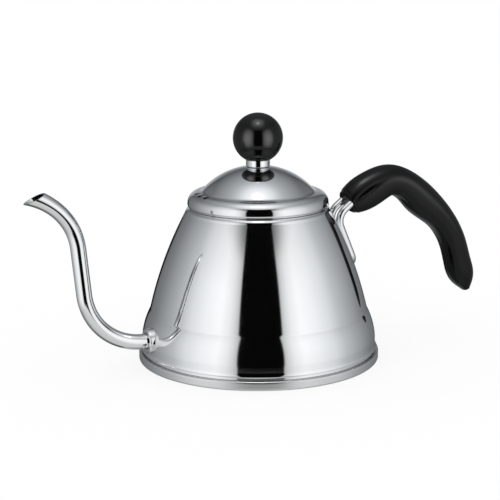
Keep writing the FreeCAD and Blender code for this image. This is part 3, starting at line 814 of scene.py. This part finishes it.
def pipe(name, path, first, second, radius):
    """Tube about a path: P + r (cos a A + sin a B), with A and B square to the path at each point P."""
    angle = circle(ROD_SIDES)[None, :, None]
    ring = np.cos(angle) * first[:, None] + np.sin(angle) * second[:, None]
    return surface(name, path[:, None] + radius[:, None, None] * ring, wrap_rows=False)


def make_rod():
    """Tube along leg, bend and grip end on both sides, joined by a half round foot, with closed ends."""
    foot, bend_low, bend_high, end, up, away, out, turn = rod_path()
    side = np.array([0.0, 1.0, 0.0])

    def lift(flat, y):
        """Points or vectors of the reach and height plane, set at one side."""
        flat = np.atleast_2d(flat)
        return np.column_stack([flat[:, 0], np.full(len(flat), y), flat[:, 1]])

    swing = np.linspace(0, turn, BEND_ROWS)[:, None]
    bend = bend_low + ROD_BEND * out - ROD_BEND * (np.cos(swing) * out - np.sin(swing) * up)
    straight = bend_low + np.linspace(-1, 0, LEG_ROWS, endpoint=False)[:, None] * (bend_low - foot)
    last = bend_high + np.linspace(0, 1, END_ROWS)[1:, None] * (end - bend_high)
    leg = np.concatenate([straight, bend, last])
    heading = np.concatenate([np.repeat(up[None], len(straight), 0),
                              np.cos(swing) * up + np.sin(swing) * out,
                              np.repeat(away[None], len(last), 0)])
    normal = lift(np.column_stack([heading[:, 1], -heading[:, 0]]), 0)
    curl = np.linspace(math.pi, 2 * math.pi, FOOT_ROWS)[1:-1, None]
    curl_side = np.cos(curl) * side + np.sin(curl) * lift(up, 0)
    low = lift(foot, 0) + LEG_SIDE * curl_side
    left = np.repeat(-side[None], len(leg), 0)
    path = np.concatenate([lift(leg, -LEG_SIDE)[::-1], low, lift(leg, LEG_SIDE)])
    first = np.concatenate([normal[::-1], np.repeat(lift(out, 0), len(curl), 0), normal])
    second = np.concatenate([left, curl_side, -left])
    path, first, second = (np.concatenate([rows[:1], rows, rows[-1:]]) for rows in (path, first, second))
    size = np.full(len(path), ROD_RADIUS)
    size[[0, -1]] = 0
    return pipe("bent_rod", path, first, second, size)


dress(make_rod(), "vessel", "bracket_steel", ["handle_bracket"], rod_steel)

# %% [markdown]
# ## Grip
# The grip is moulded to the hand: thick near the front and thinner towards its tip, with a narrow valley
# along each flank at the front and shallow hollows on the inside. It could be sculpted, or a subdivided
# cage. A loft through a few stations keeps every size in sight: each station has a reach, a height, a
# thickness and a width, and a spline runs through them. Valley and hollows are soft bumps that are taken
# off the section.

# %% Spline through the stations
def spline(knots, values, at):
    """Natural cubic spline through the values, and its slope.

    The second derivatives solve a banded system, with zero at both ends. Between two knots the curve is the
    cubic that has both values and both second derivatives.
    """
    gap = np.diff(knots)
    count = len(knots)
    system = np.eye(count)
    right = np.zeros(count)
    inner = np.arange(1, count - 1)
    system[inner, inner - 1] = gap[:-1]
    system[inner, inner] = 2 * (gap[:-1] + gap[1:])
    system[inner, inner + 1] = gap[1:]
    right[inner] = 6 * np.diff(np.diff(values) / gap)
    bend = np.linalg.solve(system, right)
    cell = np.clip(np.searchsorted(knots, at, side="right") - 1, 0, count - 2)
    width = gap[cell]
    back = at - knots[cell]
    ahead = knots[cell + 1] - at
    low = values[cell] / width - bend[cell] * width / 6
    high = values[cell + 1] / width - bend[cell + 1] * width / 6
    place = (bend[cell] * ahead ** 3 + bend[cell + 1] * back ** 3) / (6 * width) + low * ahead + high * back
    slope = (bend[cell + 1] * back ** 2 - bend[cell] * ahead ** 2) / (2 * width) - low + high
    return place, slope


print("spline ready")

# %% Stations of the grip
REACH = np.array([61, 68, 78.5, 91, 103.5, 114, 128.5, 139.5, 144, 148.5, 150.5])
HEIGHT = np.array([92.5, 96, 101, 105, 100.5, 91.5, 78.5, 61, 46.5, 33.5, 27.8])
THICKNESS = np.array([16.5, 21.5, 23, 20.5, 20.5, 22.5, 19, 17.5, 18, 14, 6])
WIDTH = np.array([18, 20, 20.5, 20.5, 20.5, 20.5, 20, 19.5, 19, 15, 8])

station_places = np.concatenate([[0], np.cumsum(np.hypot(np.diff(REACH), np.diff(HEIGHT)))])
print("grip is about", round(station_places[-1], 1), "mm long along its middle line")

# %% Hollows of the grip
VALLEY_DEPTH = 2.0
VALLEY_PLACE = (0.092, 0.06)
VALLEY_ANGLE = 84.5
VALLEY_FALL = 75
VALLEY_WIDTH = 7
FINGER_HOLLOWS = [{"depth": 0.6, "place": (0.365, 0.045), "flank": (158, 10)},
                  {"depth": 1.2, "place": (0.79, 0.062), "flank": (148, 8)}]
# Full dullness and painted shade at this valley depth, and at most this much.
DULL_SHADE_DEPTH = 1.3
DULL_SHADE_MOST = 0.95


def bump_at(value, centre, width):
    """Soft bump of height 1: exp(-((value - centre) / width)^2)."""
    return np.exp(-((value - centre) / width) ** 2)


def grip_hollows(share, flank):
    """Depth and dullness of valley and finger hollows.

    They are given a share of the grip's length and an angle from its back. Each is a bump along the grip
    times a bump round it. The valley's angle falls along the grip, and the dullness also masks painted
    shade.
    """
    valley_angle = VALLEY_ANGLE - VALLEY_FALL * share
    valley = VALLEY_DEPTH * bump_at(share, *VALLEY_PLACE) * bump_at(flank, valley_angle, VALLEY_WIDTH)
    hollows = sum(one["depth"] * bump_at(share, *one["place"]) * bump_at(flank, *one["flank"])
                  for one in FINGER_HOLLOWS)
    return valley + hollows, np.clip(valley / DULL_SHADE_DEPTH + hollows, 0, DULL_SHADE_MOST)


print("valley and", len(FINGER_HOLLOWS), "pairs of finger hollows")

# %% Grip
GRIP_ROWS = 190
GRIP_SIDES = 160
GRIP_SHARP = 50
INNER_BOX = 2.6
BACK_TRIM = 0.75
FACE_ROUND = 1.8
FACE_FLAT_ROWS = 6
FACE_ROWS = 9
TIP_ROUND = 1.2
TIP_ROWS = 12


def make_grip():
    """Rings across the middle line, with rounded ends.

    A ring is an oval on the back half and a squarer oval |x|^n + |y|^n = 1 on the inner half.
    """
    length = station_places[-1]
    at = np.linspace(0, length, GRIP_ROWS)
    x, x_slope = spline(station_places, REACH, at)
    z, z_slope = spline(station_places, HEIGHT, at)
    half_thick = spline(station_places, THICKNESS, at)[0][:, None] / 2
    half_wide = spline(station_places, WIDTH, at)[0][:, None] / 2
    middle = np.stack([x, z], 1)
    forward = np.stack([x_slope, z_slope], 1) / np.hypot(x_slope, z_slope)[:, None]
    upward = np.stack([-forward[:, 1], forward[:, 0]], 1)
    angle = circle(GRIP_SIDES)
    flank = np.degrees(np.minimum(angle, 2 * math.pi - angle))[None]
    depth, dull_and_shade = grip_hollows((at / length)[:, None], flank)
    size = 1 - depth / half_thick
    inside = np.cos(angle) < 0
    power = np.where(inside, 2 / INNER_BOX, 1)
    half = np.where(inside, half_thick, half_thick - BACK_TRIM)
    up = half * np.sign(np.cos(angle)) * np.abs(np.cos(angle)) ** power * size
    side = half_wide * np.sign(np.sin(angle)) * np.abs(np.sin(angle)) ** power * size

    def rings(row, shift, keep):
        """Rings at rows of the grip, moved along the middle line and drawn in towards it."""
        centre = middle[row] + shift[:, None] * forward[row]
        rise = keep[:, None] * up[row]
        return np.stack([centre[:, :1] + rise * upward[row, :1], keep[:, None] * side[row],
                         centre[:, 1:] + rise * upward[row, 1:]], -1)

    face_bend = np.linspace(math.pi / 2, 0, FACE_ROWS)
    face_keep = 1 - FACE_ROUND * (1 - np.cos(face_bend)) / half_thick[0]
    flat_keep = np.linspace(0, face_keep[0], FACE_FLAT_ROWS, endpoint=False)
    face_shift = np.concatenate([np.zeros(FACE_FLAT_ROWS), FACE_ROUND * (1 - np.sin(face_bend))])
    face = rings(np.zeros(len(face_shift), int), face_shift, np.concatenate([flat_keep, face_keep]))
    tip_bend = np.linspace(0, math.pi / 2, TIP_ROWS)[1:]
    tip = rings(np.full(len(tip_bend), -1), TIP_ROUND * np.sin(tip_bend), np.cos(tip_bend))
    row = np.arange(int(np.searchsorted(at, FACE_ROUND)) + 1, GRIP_ROWS)
    grid = [face, rings(row, np.zeros(len(row)), np.ones(len(row))), tip]
    # Mask of dullness and painted shade, none on the rounded ends.
    dull_shade_mask = [np.zeros(face.shape[:2]), dull_and_shade[row], np.zeros(tip.shape[:2])]
    return surface("moulded_grip", np.concatenate(grid), wrap_rows=False, sharp=GRIP_SHARP,
                   dull_shade_mask=np.concatenate(dull_shade_mask))


grip = make_grip()
dress(grip, "vessel", "black_phenolic", ["handle_grip"], grip_black)

# %% [markdown]
# ## Lid
# The lid is pressed from sheet. A hem turns under its edge, a full ring runs round it with three steam
# slots towards the spout, and a soft valley leads from the ring into the dome. Loops on a sphere could be
# pushed into that shape, but a mirror shows every dent. So the section is a chain of arcs, and the dome's
# radius is worked out so that it leaves the valley without a corner. The slots are cut out, and their
# walls get a near-black steel as painted shade.

# %% Section of the lid
HEM_INNER = 39.5
HEM_OUT = 41.4
HEM_BOW = 2.2
RIM_HEIGHT = 2.8
RING_BOW = 6.7
CREST_TILT = math.radians(88)
VALLEY_BOW = 4.5
EDGE_TILT = math.radians(43)
DOME_FLAT = 7.7
SCREW_HOLE = 2.3
LID_SHEET = 0.7


def lid_corners():
    """Closed section of the lid's sheet, over the top and back underneath.

    In the valley the outward normal n(t) = (cos t, sin t) tilts from the ring's crest to the dome's edge,
    so an arc of radius R from tilt a to tilt b moves by R (n(a) - n(b)). The dome's radius is the one
    that leaves the valley without a corner: chord / (2 sin(angle between chord and tangent)).
    """
    crest, rise = (np.array([math.cos(tilt), math.sin(tilt)]) for tilt in (CREST_TILT, EDGE_TILT))
    ring_end = np.array([rim_radius - RING_BOW, seat_height + RIM_HEIGHT]) + RING_BOW * crest
    edge = ring_end + VALLEY_BOW * (crest - rise)
    chord = np.array([DOME_FLAT, knob_seat]) - edge
    along = np.array([-rise[1], rise[0]])
    dome_bow = chord @ chord / (2 * abs(along[0] * chord[1] - along[1] * chord[0]))
    over = [(HEM_INNER, seat_height), (HEM_OUT, seat_height, HEM_BOW),
            (rim_radius, seat_height + RIM_HEIGHT, RING_BOW), (*ring_end, -VALLEY_BOW),
            (*edge, dome_bow), (DOME_FLAT, knob_seat), (SCREW_HOLE, knob_seat)]
    under = [(SCREW_HOLE, knob_seat - LID_SHEET), (DOME_FLAT, knob_seat - LID_SHEET, LID_SHEET - dome_bow),
             (*(edge - LID_SHEET * rise), VALLEY_BOW + LID_SHEET),
             (*(ring_end - LID_SHEET * crest), LID_SHEET - RING_BOW),
             (rim_radius - LID_SHEET, seat_height + RIM_HEIGHT, LID_SHEET - HEM_BOW),
             (HEM_OUT, seat_height + LID_SHEET), (HEM_INNER, seat_height + LID_SHEET)]
    return over + under


print("lid rises", round(knob_seat - seat_height, 1), "mm above its seat")

# %% Steam slots
VENTS = 3
VENT_RADIUS = 37.9
VENT_PITCH = math.radians(11)
VENT_LENGTH = 4.0
VENT_WIDTH = 2.9
VENT_END_POINTS = 12
VENT_CUT = (5, 12)
WALL_LOW = 3
WALL_SLACK = 0.05
UPRIGHT = 0.05


def slot_cutter(number):
    """Upright cutter of one radial slot with round ends, turned to its place."""
    turn = math.pi + (number - (VENTS - 1) / 2) * VENT_PITCH
    bend = np.linspace(-math.pi / 2, math.pi / 2, VENT_END_POINTS)
    end = np.stack([np.cos(bend), np.sin(bend)], 1) * VENT_WIDTH / 2
    half = np.array([(VENT_LENGTH - VENT_WIDTH) / 2, 0])
    loop = np.concatenate([end + half, -end - half]) + np.array([VENT_RADIUS, 0])
    spin = np.array([[math.cos(turn), math.sin(turn)], [-math.sin(turn), math.cos(turn)]])
    return prism("slot_cutter", loop @ spin, seat_height + VENT_CUT[0], seat_height + VENT_CUT[1])


def slot_walls(obj):
    """Faces of the slots' upright walls, as 0 or 1."""
    centres, normals = face_data(obj)
    upright = np.abs(normals[:, 2]) < UPRIGHT
    radius = np.hypot(centres[:, 0], centres[:, 1])
    near = np.abs(radius - VENT_RADIUS) < VENT_LENGTH / 2 + WALL_SLACK
    high = centres[:, 2] > seat_height + RIM_HEIGHT + WALL_LOW
    return (upright & near & high).astype(np.int32)


print(VENTS, "steam slots of", VENT_LENGTH, "by", VENT_WIDTH, "mm")

# %% Lid
LID_SHARP = 18


def make_lid():
    """Turned sheet with the three slots cut through its ring."""
    obj = turned("domed_lid", outline(lid_corners(), step=0.5))
    cut(obj, *[slot_cutter(number) for number in range(VENTS)], sharp=LID_SHARP)
    return obj


lid = make_lid()
dress(lid, "lid", "polished_steel", ["lid_dome"], lid_steel, slot_shade_steel)
# The slots' walls take the near-black steel as painted shade.
lid.data.polygons.foreach_set("material_index", slot_walls(lid))

# %% [markdown]
# A thin ring is welded under the lid. It drops into the mouth and keeps the lid from sliding off. It is a
# plain piece that could stay as it is in the frame. It is turned again so that it is as smooth as its
# neighbours.

# %% Lid skirt
SKIRT_SHEET = 0.6
SKIRT_RADIUS = 38.25


def make_skirt():
    """Turned skirt with a narrow flange at its top."""
    top, low, out = skirt_high[2], skirt_low[2], skirt_high[0]
    corners = [(SKIRT_RADIUS - SKIRT_SHEET, low), (SKIRT_RADIUS, low), (SKIRT_RADIUS, top - SKIRT_SHEET),
               (out, top - SKIRT_SHEET), (out, top), (SKIRT_RADIUS - SKIRT_SHEET, top)]
    return turned("lid_locating_ring", outline(corners, step=0.8))


dress(make_skirt(), "lid", "inner_steel", ["lid_skirt"], satin_steel)

# %% [markdown]
# ## Knob
# A black ball, cut flat underneath, stands on a short chromed spacer. A screw with a washer comes up from
# inside the lid and holds both by a brass bush in the ball. A sphere and cylinders would come close, but
# their rows wouldn't end on the flats, so these small pieces are turned from outlines as well.

# %% Ball and spacer
BALL_SIDES = 128
BALL_ROWS = 110
FLAT_ROWS = 8
SPACER_SIDES = 160
SPACER_ROUND = 0.5
SPACER_FOOT = 1.1
SPACER_HOLE = 2.3


def make_ball():
    """Ball cut flat underneath: radius R about its centre, from the flat up to the pole."""
    radius = ball_high[0] - TRIM
    centre = ball_high[2] - radius
    first = math.asin((ball_low[2] - centre) / radius)
    angle = np.linspace(first, math.pi / 2, BALL_ROWS)
    arc = np.stack([radius * np.cos(angle), centre + radius * np.sin(angle)], 1)
    arc[-1, 0] = 0
    flat_radius = np.linspace(0, arc[0, 0], FLAT_ROWS, endpoint=False)
    flat = np.stack([flat_radius, np.full(FLAT_ROWS, ball_low[2])], 1)
    return turned("ball_knob", np.concatenate([flat, arc]), BALL_SIDES)


def make_spacer():
    """Short chromed ring with eased edges and the screw's hole."""
    low, high, out = spacer_low[2], spacer_high[2], spacer_high[0]
    corners = [(SPACER_HOLE, low), (out - SPACER_FOOT, low, SPACER_FOOT), (out, low + SPACER_FOOT),
               (out, high - SPACER_ROUND, SPACER_ROUND), (out - SPACER_ROUND, high), (SPACER_HOLE, high)]
    return turned("chrome_spacer", outline(corners, step=0.25), SPACER_SIDES)


ball = make_ball()
dress(ball, "lid", "knob_phenolic", ["knob_ball"], ball_black)
dress(make_spacer(), "lid", "plated_chrome", ["knob_collar"], chrome)

# %% Screw and washer
SCREW_SIDES = 64
SCREW_SHANK = 1.95
HEAD_ROUND = 0.7
RECESS_LONG = 2.1
RECESS_SHORT = 0.45
RECESS_DEPTH = 1.1
RECESS_CLEAR = 1
WASHER_SIDES = 96


def make_screw():
    """Round headed screw, head down, with a crossed recess cut by two bars."""
    low, high, out = screw_low[2], screw_high[2], screw_high[0]
    under = washer_low[2]
    corners = [(0, low), (out - HEAD_ROUND, low, HEAD_ROUND), (out, low + HEAD_ROUND), (out, under),
               (SCREW_SHANK, under), (SCREW_SHANK, high), (0, high)]
    obj = turned("lid_screw", outline(corners, step=0.3), SCREW_SIDES)
    bars = []
    for long, short in ((RECESS_LONG, RECESS_SHORT), (RECESS_SHORT, RECESS_LONG)):
        loop = np.array([[-long, -short], [long, -short], [long, short], [-long, short]])
        bars.append(prism("recess", loop, low - RECESS_CLEAR, low + RECESS_DEPTH))
    cut(obj, *bars)
    return obj


def make_washer():
    """Flat washer under the screw's head."""
    low, high, out = washer_low[2], washer_high[2], washer_high[0]
    corners = [(SPACER_HOLE, low), (out, low), (out, high), (SPACER_HOLE, high)]
    return turned("lid_washer", outline(corners, step=0.4), WASHER_SIDES)


dress(make_screw(), "lid", "screw_steel", ["knob_screw"], screw_steel)
dress(make_washer(), "lid", "screw_steel", ["knob_washer"], screw_steel)

# %% [markdown]
# The brass bush is moulded into the ball and never shows, so it keeps its construction mesh and only gets
# a finish.

# %% Brass bush
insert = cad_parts["knob_insert"]
for place in insert.material_slots:
    place.material = brass
print("insert finished in", brass.name)

# %% [markdown]
# ## Floor
# The kettle stands on a plain white floor. Lit alone, a white plane can come out grey with a heavy
# shadow. Mixing in some emission, for what the camera and glossy or clear surfaces see, keeps it white,
# and the rest keeps a soft contact shadow. The steel has its own studio to look at, so reflections leave
# the floor out.

# %% Floor
FLOOR_HALF = 4.0
GLOW_SHARE = 0.8


def make_floor():
    """White floor, part of its light given off so that the shadow stays faint."""
    corners = [(-FLOOR_HALF, -FLOOR_HALF, 0), (FLOOR_HALF, -FLOOR_HALF, 0),
               (FLOOR_HALF, FLOOR_HALF, 0), (-FLOOR_HALF, FLOOR_HALF, 0)]
    mesh = bpy.data.meshes.new("floor")
    mesh.from_pydata(corners, [], [[0, 1, 2, 3]])
    obj = add_object("floor", mesh)
    material, tree, result = bare_material("white_floor")
    matte = tree.nodes.new("ShaderNodeBsdfDiffuse")
    socket_value(matte, "Color", (1, 1, 1, 1))
    glow = tree.nodes.new("ShaderNodeEmission")
    socket_value(glow, "Strength", 1.0)
    path = tree.nodes.new("ShaderNodeLightPath").outputs
    seen = math_node(tree, "MAXIMUM", path["Is Camera Ray"], path["Is Glossy Ray"])
    seen = math_node(tree, "MAXIMUM", seen, path["Is Transmission Ray"])
    blend = tree.nodes.new("ShaderNodeMixShader")
    tree.links.new(math_node(tree, "MULTIPLY", seen, GLOW_SHARE), blend.inputs[0])
    tree.links.new(matte.outputs[0], blend.inputs[1])
    tree.links.new(glow.outputs[0], blend.inputs[2])
    tree.links.new(blend.outputs[0], result)
    mesh.materials.append(material)
    obj.visible_glossy = False


make_floor()
print("floor laid")

# %% [markdown]
# ## Studio
# Polished steel shows little of its own: what is seen is the room. In the picture a dark strip runs up
# the middle of the kettle between bright sides that fade towards the back. The room could be an image,
# but a formula is smaller and clearer. A drum round the kettle gives off light by its place: a dark strip
# with soft edges, bright screens on both sides, a lamp overhead, a lit wall at the very back and a dark
# flag on its left. Low down the strip ends, as it would at the edge of a table. The drum stands still and
# only reflections see it.

# %% Dark strip
DEGREES = 1 / 180
STRIP_EDGE = [(19.9 * DEGREES, 0.006), (21.3 * DEGREES, 1.0)]
STRIP_GLOW = [(0, 0.05), (12.8 * DEGREES, 0.15), (20.9 * DEGREES, 0.52), (25 * DEGREES, 0.70),
              (30 * DEGREES, 0.86), (39 * DEGREES, 1.0)]
STRIP_WIDEN = 0.6
STRIP_WIDEN_EDGE = [(0.45, 0.0), (0.68, 1.0)]
STRIP_TOP = [(0.71, 0.0), (0.78, 1.0)]
STRIP_END = [(0.37, 1.0), (0.40, 0.0)]
STRIP_END_SHIFT = 0.5
STRIP_FLOOR = 0.002


def product(tree, first, *others):
    """Multiplies sockets or numbers; returns the output."""
    for value in others:
        first = math_node(tree, "MULTIPLY", first, value)
    return first


def strip_share(tree, around, height, wall_height):
    """Share of the light that the dark strip lets through: it widens upwards and stops at both its ends."""
    widen = ramp_node(tree, height, STRIP_WIDEN_EDGE, "EASE")
    width = math_node(tree, "MULTIPLY_ADD", widen, STRIP_WIDEN, 1.0)
    glow = ramp_node(tree, math_node(tree, "DIVIDE", around, width), STRIP_GLOW)
    strip = product(tree, ramp_node(tree, around, STRIP_EDGE), glow)
    above = ramp_node(tree, height, STRIP_TOP, "EASE")
    below = ramp_node(tree, math_node(tree, "ADD", wall_height, STRIP_END_SHIFT), STRIP_END)
    ends = math_node(tree, "MAXIMUM", above, math_node(tree, "MAXIMUM", below, STRIP_FLOOR))
    return math_node(tree, "MAXIMUM", strip, ends)


print("dark strip is", round(2 * STRIP_EDGE[0][0] / DEGREES, 1), "degrees wide")

# %% Light of the studio wall
VIEW_TURN = 24.0
STRIP_TURN = 1.9
STUDIO_MIDDLE = (-0.02, -0.045, 0.095)
SCREEN_PEAK = 1.26
LAMP_PEAK = 7.5
LAMP_HEIGHT = math.radians(78)
SCREEN = [(0, 1.0), (42 * DEGREES, 1.0), (55 * DEGREES, 0.92), (72 * DEGREES, 0.74), (85 * DEGREES, 0.53),
          (99 * DEGREES, 0.40), (117 * DEGREES, 0.27), (129 * DEGREES, 0.20), (147 * DEGREES, 0.15),
          (156 * DEGREES, 0.09), (161 * DEGREES, 0.02)]
LEVEL = [(0.0, 0.55), (0.21, 0.62), (0.275, 0.9), (0.34, 0.95), (0.5, 1.0), (0.62, 1.0), (0.71, 0.93),
         (0.78, 0.86), (0.83, 0.77), (0.883, 0.6), (1.0, 0.5)]
LAMP = [(0.0, 1.0), (0.05, 0.85), (0.065, 0.3), (0.085, 0.175), (0.125, 0.165), (0.2, 0.142), (0.267, 0.116),
        (0.344, 0.0885), (0.42, 0.072), (0.5, 0.06), (0.667, 0.04), (0.83, 0.02), (1.0, 0.0)]
BACK = [(0.0, 0.5), (0.30, 0.45), (0.355, 0.0), (0.38, 0.0), (0.415, 0.65), (0.55, 0.5), (0.675, 0.15),
        (1.0, 0.1)]
BACK_EDGE = [(152 * DEGREES, 0.0), (160 * DEGREES, 1.0)]
FLAG_EDGE = [(149 * DEGREES, 0.0), (153 * DEGREES, 1.0)]
FLAG_LEVEL = [(0.20, 0.0), (0.27, 0.96), (0.45, 0.96), (0.50, 0.0)]
FRONT_TINT = (1.0, 1.0, 0.99)
BACK_TINT = (0.93, 0.985, 1.03)


def rotate_node(tree, vector, degrees):
    """Turns a vector about Z; returns the vector."""
    node = tree.nodes.new("ShaderNodeVectorRotate")
    node.rotation_type = "Z_AXIS"
    socket_value(node, "Angle", math.radians(degrees))
    tree.links.new(vector, node.inputs["Vector"])
    return node.outputs["Vector"]


def studio_light(tree):
    """Brightness and tint of the studio wall.

    The place round the kettle runs from 0 at the strip to 1 behind. The slope seen from the kettle's middle
    gives a height from -1 to 1, a level from 0 to 1, and how far apart a point and the lamp are.
    The light is the brighter of walls and lamp, times the share that the dark strip lets through.
    """
    place = tree.nodes.new("ShaderNodeTexCoord").outputs["Object"]
    wall = split_node(tree, rotate_node(tree, place, VIEW_TURN - STRIP_TURN))
    sideways = math_node(tree, "ABSOLUTE", wall["X"])
    azimuth = math_node(tree, "ARCTAN2", sideways, math_node(tree, "MULTIPLY", wall["Y"], -1.0))
    around = math_node(tree, "DIVIDE", azimuth, math.pi)
    inward = vector_node(tree, "NORMALIZE", vector_node(tree, "SUBTRACT", STUDIO_MIDDLE, place)[0])
    ray = rotate_node(tree, inward[0], VIEW_TURN)
    height = math_node(tree, "MULTIPLY", split_node(tree, ray)["Z"], -1.0)
    level = math_node(tree, "MULTIPLY_ADD", height, 0.5, 0.5)
    screens = product(tree, ramp_node(tree, around, SCREEN), ramp_node(tree, level, LEVEL), SCREEN_PEAK)
    back = product(tree, ramp_node(tree, around, BACK_EDGE), ramp_node(tree, level, BACK))
    left = math_node(tree, "LESS_THAN", wall["X"], 0.0)
    flag = product(tree, ramp_node(tree, around, FLAG_EDGE), ramp_node(tree, level, FLAG_LEVEL), left)
    walls = product(tree, math_node(tree, "MAXIMUM", screens, back), math_node(tree, "SUBTRACT", 1.0, flag))
    aim = vector_node(tree, "DOT_PRODUCT", ray, (0, math.cos(LAMP_HEIGHT), -math.sin(LAMP_HEIGHT)))["Value"]
    apart = math_node(tree, "DIVIDE", math_node(tree, "ARCCOSINE", aim), math.pi / 2)
    light = math_node(tree, "MAXIMUM", walls, product(tree, ramp_node(tree, apart, LAMP), LAMP_PEAK))
    share = strip_share(tree, around, height, wall["Z"])
    return product(tree, light, share), mix_tone(tree, around, FRONT_TINT, BACK_TINT)


print("studio lamp stands", round(math.degrees(LAMP_HEIGHT)), "degrees up")

# %% Studio drum
DRUM_RADIUS = 420
DRUM_LOW = -1500
DRUM_HIGH = 3000
DRUM_SIDES = 96
DRUM_STEP = 500


def make_studio():
    """Upright closed drum round the kettle that only reflections see."""
    corners = [(0, DRUM_LOW), (DRUM_RADIUS, DRUM_LOW), (DRUM_RADIUS, DRUM_HIGH), (0, DRUM_HIGH)]
    obj = turned("studio", outline(corners, step=DRUM_STEP), DRUM_SIDES)
    material, tree, result = bare_material("studio_light")
    material.cycles.emission_sampling = "NONE"
    glow = tree.nodes.new("ShaderNodeEmission")
    strength, tint = studio_light(tree)
    tree.links.new(strength, glow.inputs["Strength"])
    tree.links.new(tint, glow.inputs["Color"])
    tree.links.new(glow.outputs[0], result)
    obj.data.materials.append(material)
    obj.visible_camera = False
    obj.visible_diffuse = False
    obj.visible_transmission = False
    obj.visible_shadow = False


make_studio()
print("studio drum of radius", DRUM_RADIUS, "mm")

# %% [markdown]
# ## Soft boxes
# Black plastic shows only what is bright: two windows and a glow on the ball, a ridge and a long line on
# the grip. A brighter drum would draw them, but it would change the steel too. So small soft boxes inside
# the drum are linked to one black piece each. Like cloth in front of a lamp, they are brightest in the
# middle.

# %% Soft boxes for the black pieces
BALL_MIDDLE = (0, 0, (ball_low[2] + ball_high[2]) / 2 * MM)
GRIP_MIDDLE = (0.11, 0, 0.085)
RIDGE_MIDDLE = (0.078, -0.006, 0.108)
BALL_SOFTNESS = 1.7
WINDOW_TURN = 47


def fade_light(light, softness):
    """Light that fades from its middle to its edges: ((1 - (2u - 1)^2) (1 - (2v - 1)^2)) ^ softness."""
    light.use_nodes = True
    tree = light.node_tree
    across = split_node(tree, tree.nodes.new("ShaderNodeNewGeometry").outputs["Parametric"])
    bells = []
    for axis in ("X", "Y"):
        offset = math_node(tree, "MULTIPLY_ADD", across[axis], 2.0, -1.0)
        bells.append(math_node(tree, "SUBTRACT", 1.0, math_node(tree, "MULTIPLY", offset, offset)))
    bell = math_node(tree, "POWER", product(tree, *bells), softness)
    tree.links.new(bell, tree.nodes["Emission"].inputs["Strength"])


def soft_box(name, target, middle, turn, rise, away, size, power, softness=1.0):
    """Rectangular lamp at a turn from the camera and a rise above a middle, linked to one piece alone."""
    only = bpy.data.collections.new("lit_by_" + name)
    only.objects.link(target)
    light = bpy.data.lights.new(name, "AREA")
    light.shape = "RECTANGLE"
    light.size, light.size_y = size
    light.energy = power
    fade_light(light, softness)
    turn = math.radians(turn - VIEW_TURN)
    rise = math.radians(rise)
    toward = np.array([math.sin(turn) * math.cos(rise), -math.cos(turn) * math.cos(rise), math.sin(rise)])
    obj = add_object(name, light)
    obj.location = np.array(middle) + away * toward
    obj.rotation_euler = (math.pi / 2 - rise, 0, turn)
    obj.light_linking.receiver_collection = only
    obj.visible_camera = False


for name, turn in (("left_window", -WINDOW_TURN), ("right_window", WINDOW_TURN)):
    soft_box(name, ball, BALL_MIDDLE, turn, rise=2, away=0.3, size=(0.36, 0.56), power=2.7,
             softness=BALL_SOFTNESS)
soft_box("top_glow", ball, BALL_MIDDLE, turn=0, rise=78, away=0.3, size=(0.3, 0.3), power=0.9,
         softness=BALL_SOFTNESS)
soft_box("shoulder_line", grip, GRIP_MIDDLE, turn=60, rise=12, away=0.3, size=(0.267, 0.243), power=0.53)
soft_box("ridge_spot", grip, RIDGE_MIDDLE, turn=-15, rise=75, away=0.5, size=(0.2, 0.2), power=1.25)
print("soft boxes set:", len(bpy.data.lights))

# %% [markdown]
# ## World
# The rest of the light is a plain white world, as in a light tent. It could be a sky or an image, but the
# drum already holds all that the steel reflects. The Standard view shows a colour about as it is written.

# %% World
world = bpy.data.worlds.new("plain_white")
bpy.context.scene.world = world
world.use_nodes = True
background = world.node_tree.nodes["Background"]
socket_value(background, "Color", (1, 1, 1, 1))
socket_value(background, "Strength", 1.0)
bpy.context.scene.view_settings.view_transform = "Standard"
print("world is plain white")

# %% [markdown]
# ## Camera
# The camera stands in front and a little towards the spout, slightly above the lid, with a long lens. It
# could be aimed at a target, but its place and angles were fitted to the ovals of base and lid, so they
# are set as numbers.

# %% Camera
CAMERA_PLACE = (-0.3661, -0.8222, 0.2699)
CAMERA_YAW = 0.268
CAMERA_DROP = 12.684
CAMERA_ROLL = 0.25
LENS = 107.3
SENSOR = 36

lens = bpy.data.cameras.new("camera")
lens.lens = LENS
lens.sensor_width = SENSOR
camera = add_object("camera", lens)
camera.location = CAMERA_PLACE
heading = math.radians(CAMERA_YAW - VIEW_TURN)
camera.rotation_euler = (math.radians(90 - CAMERA_DROP), math.radians(CAMERA_ROLL), heading)
bpy.context.scene.camera = camera
print("camera placed", LENS, "mm")
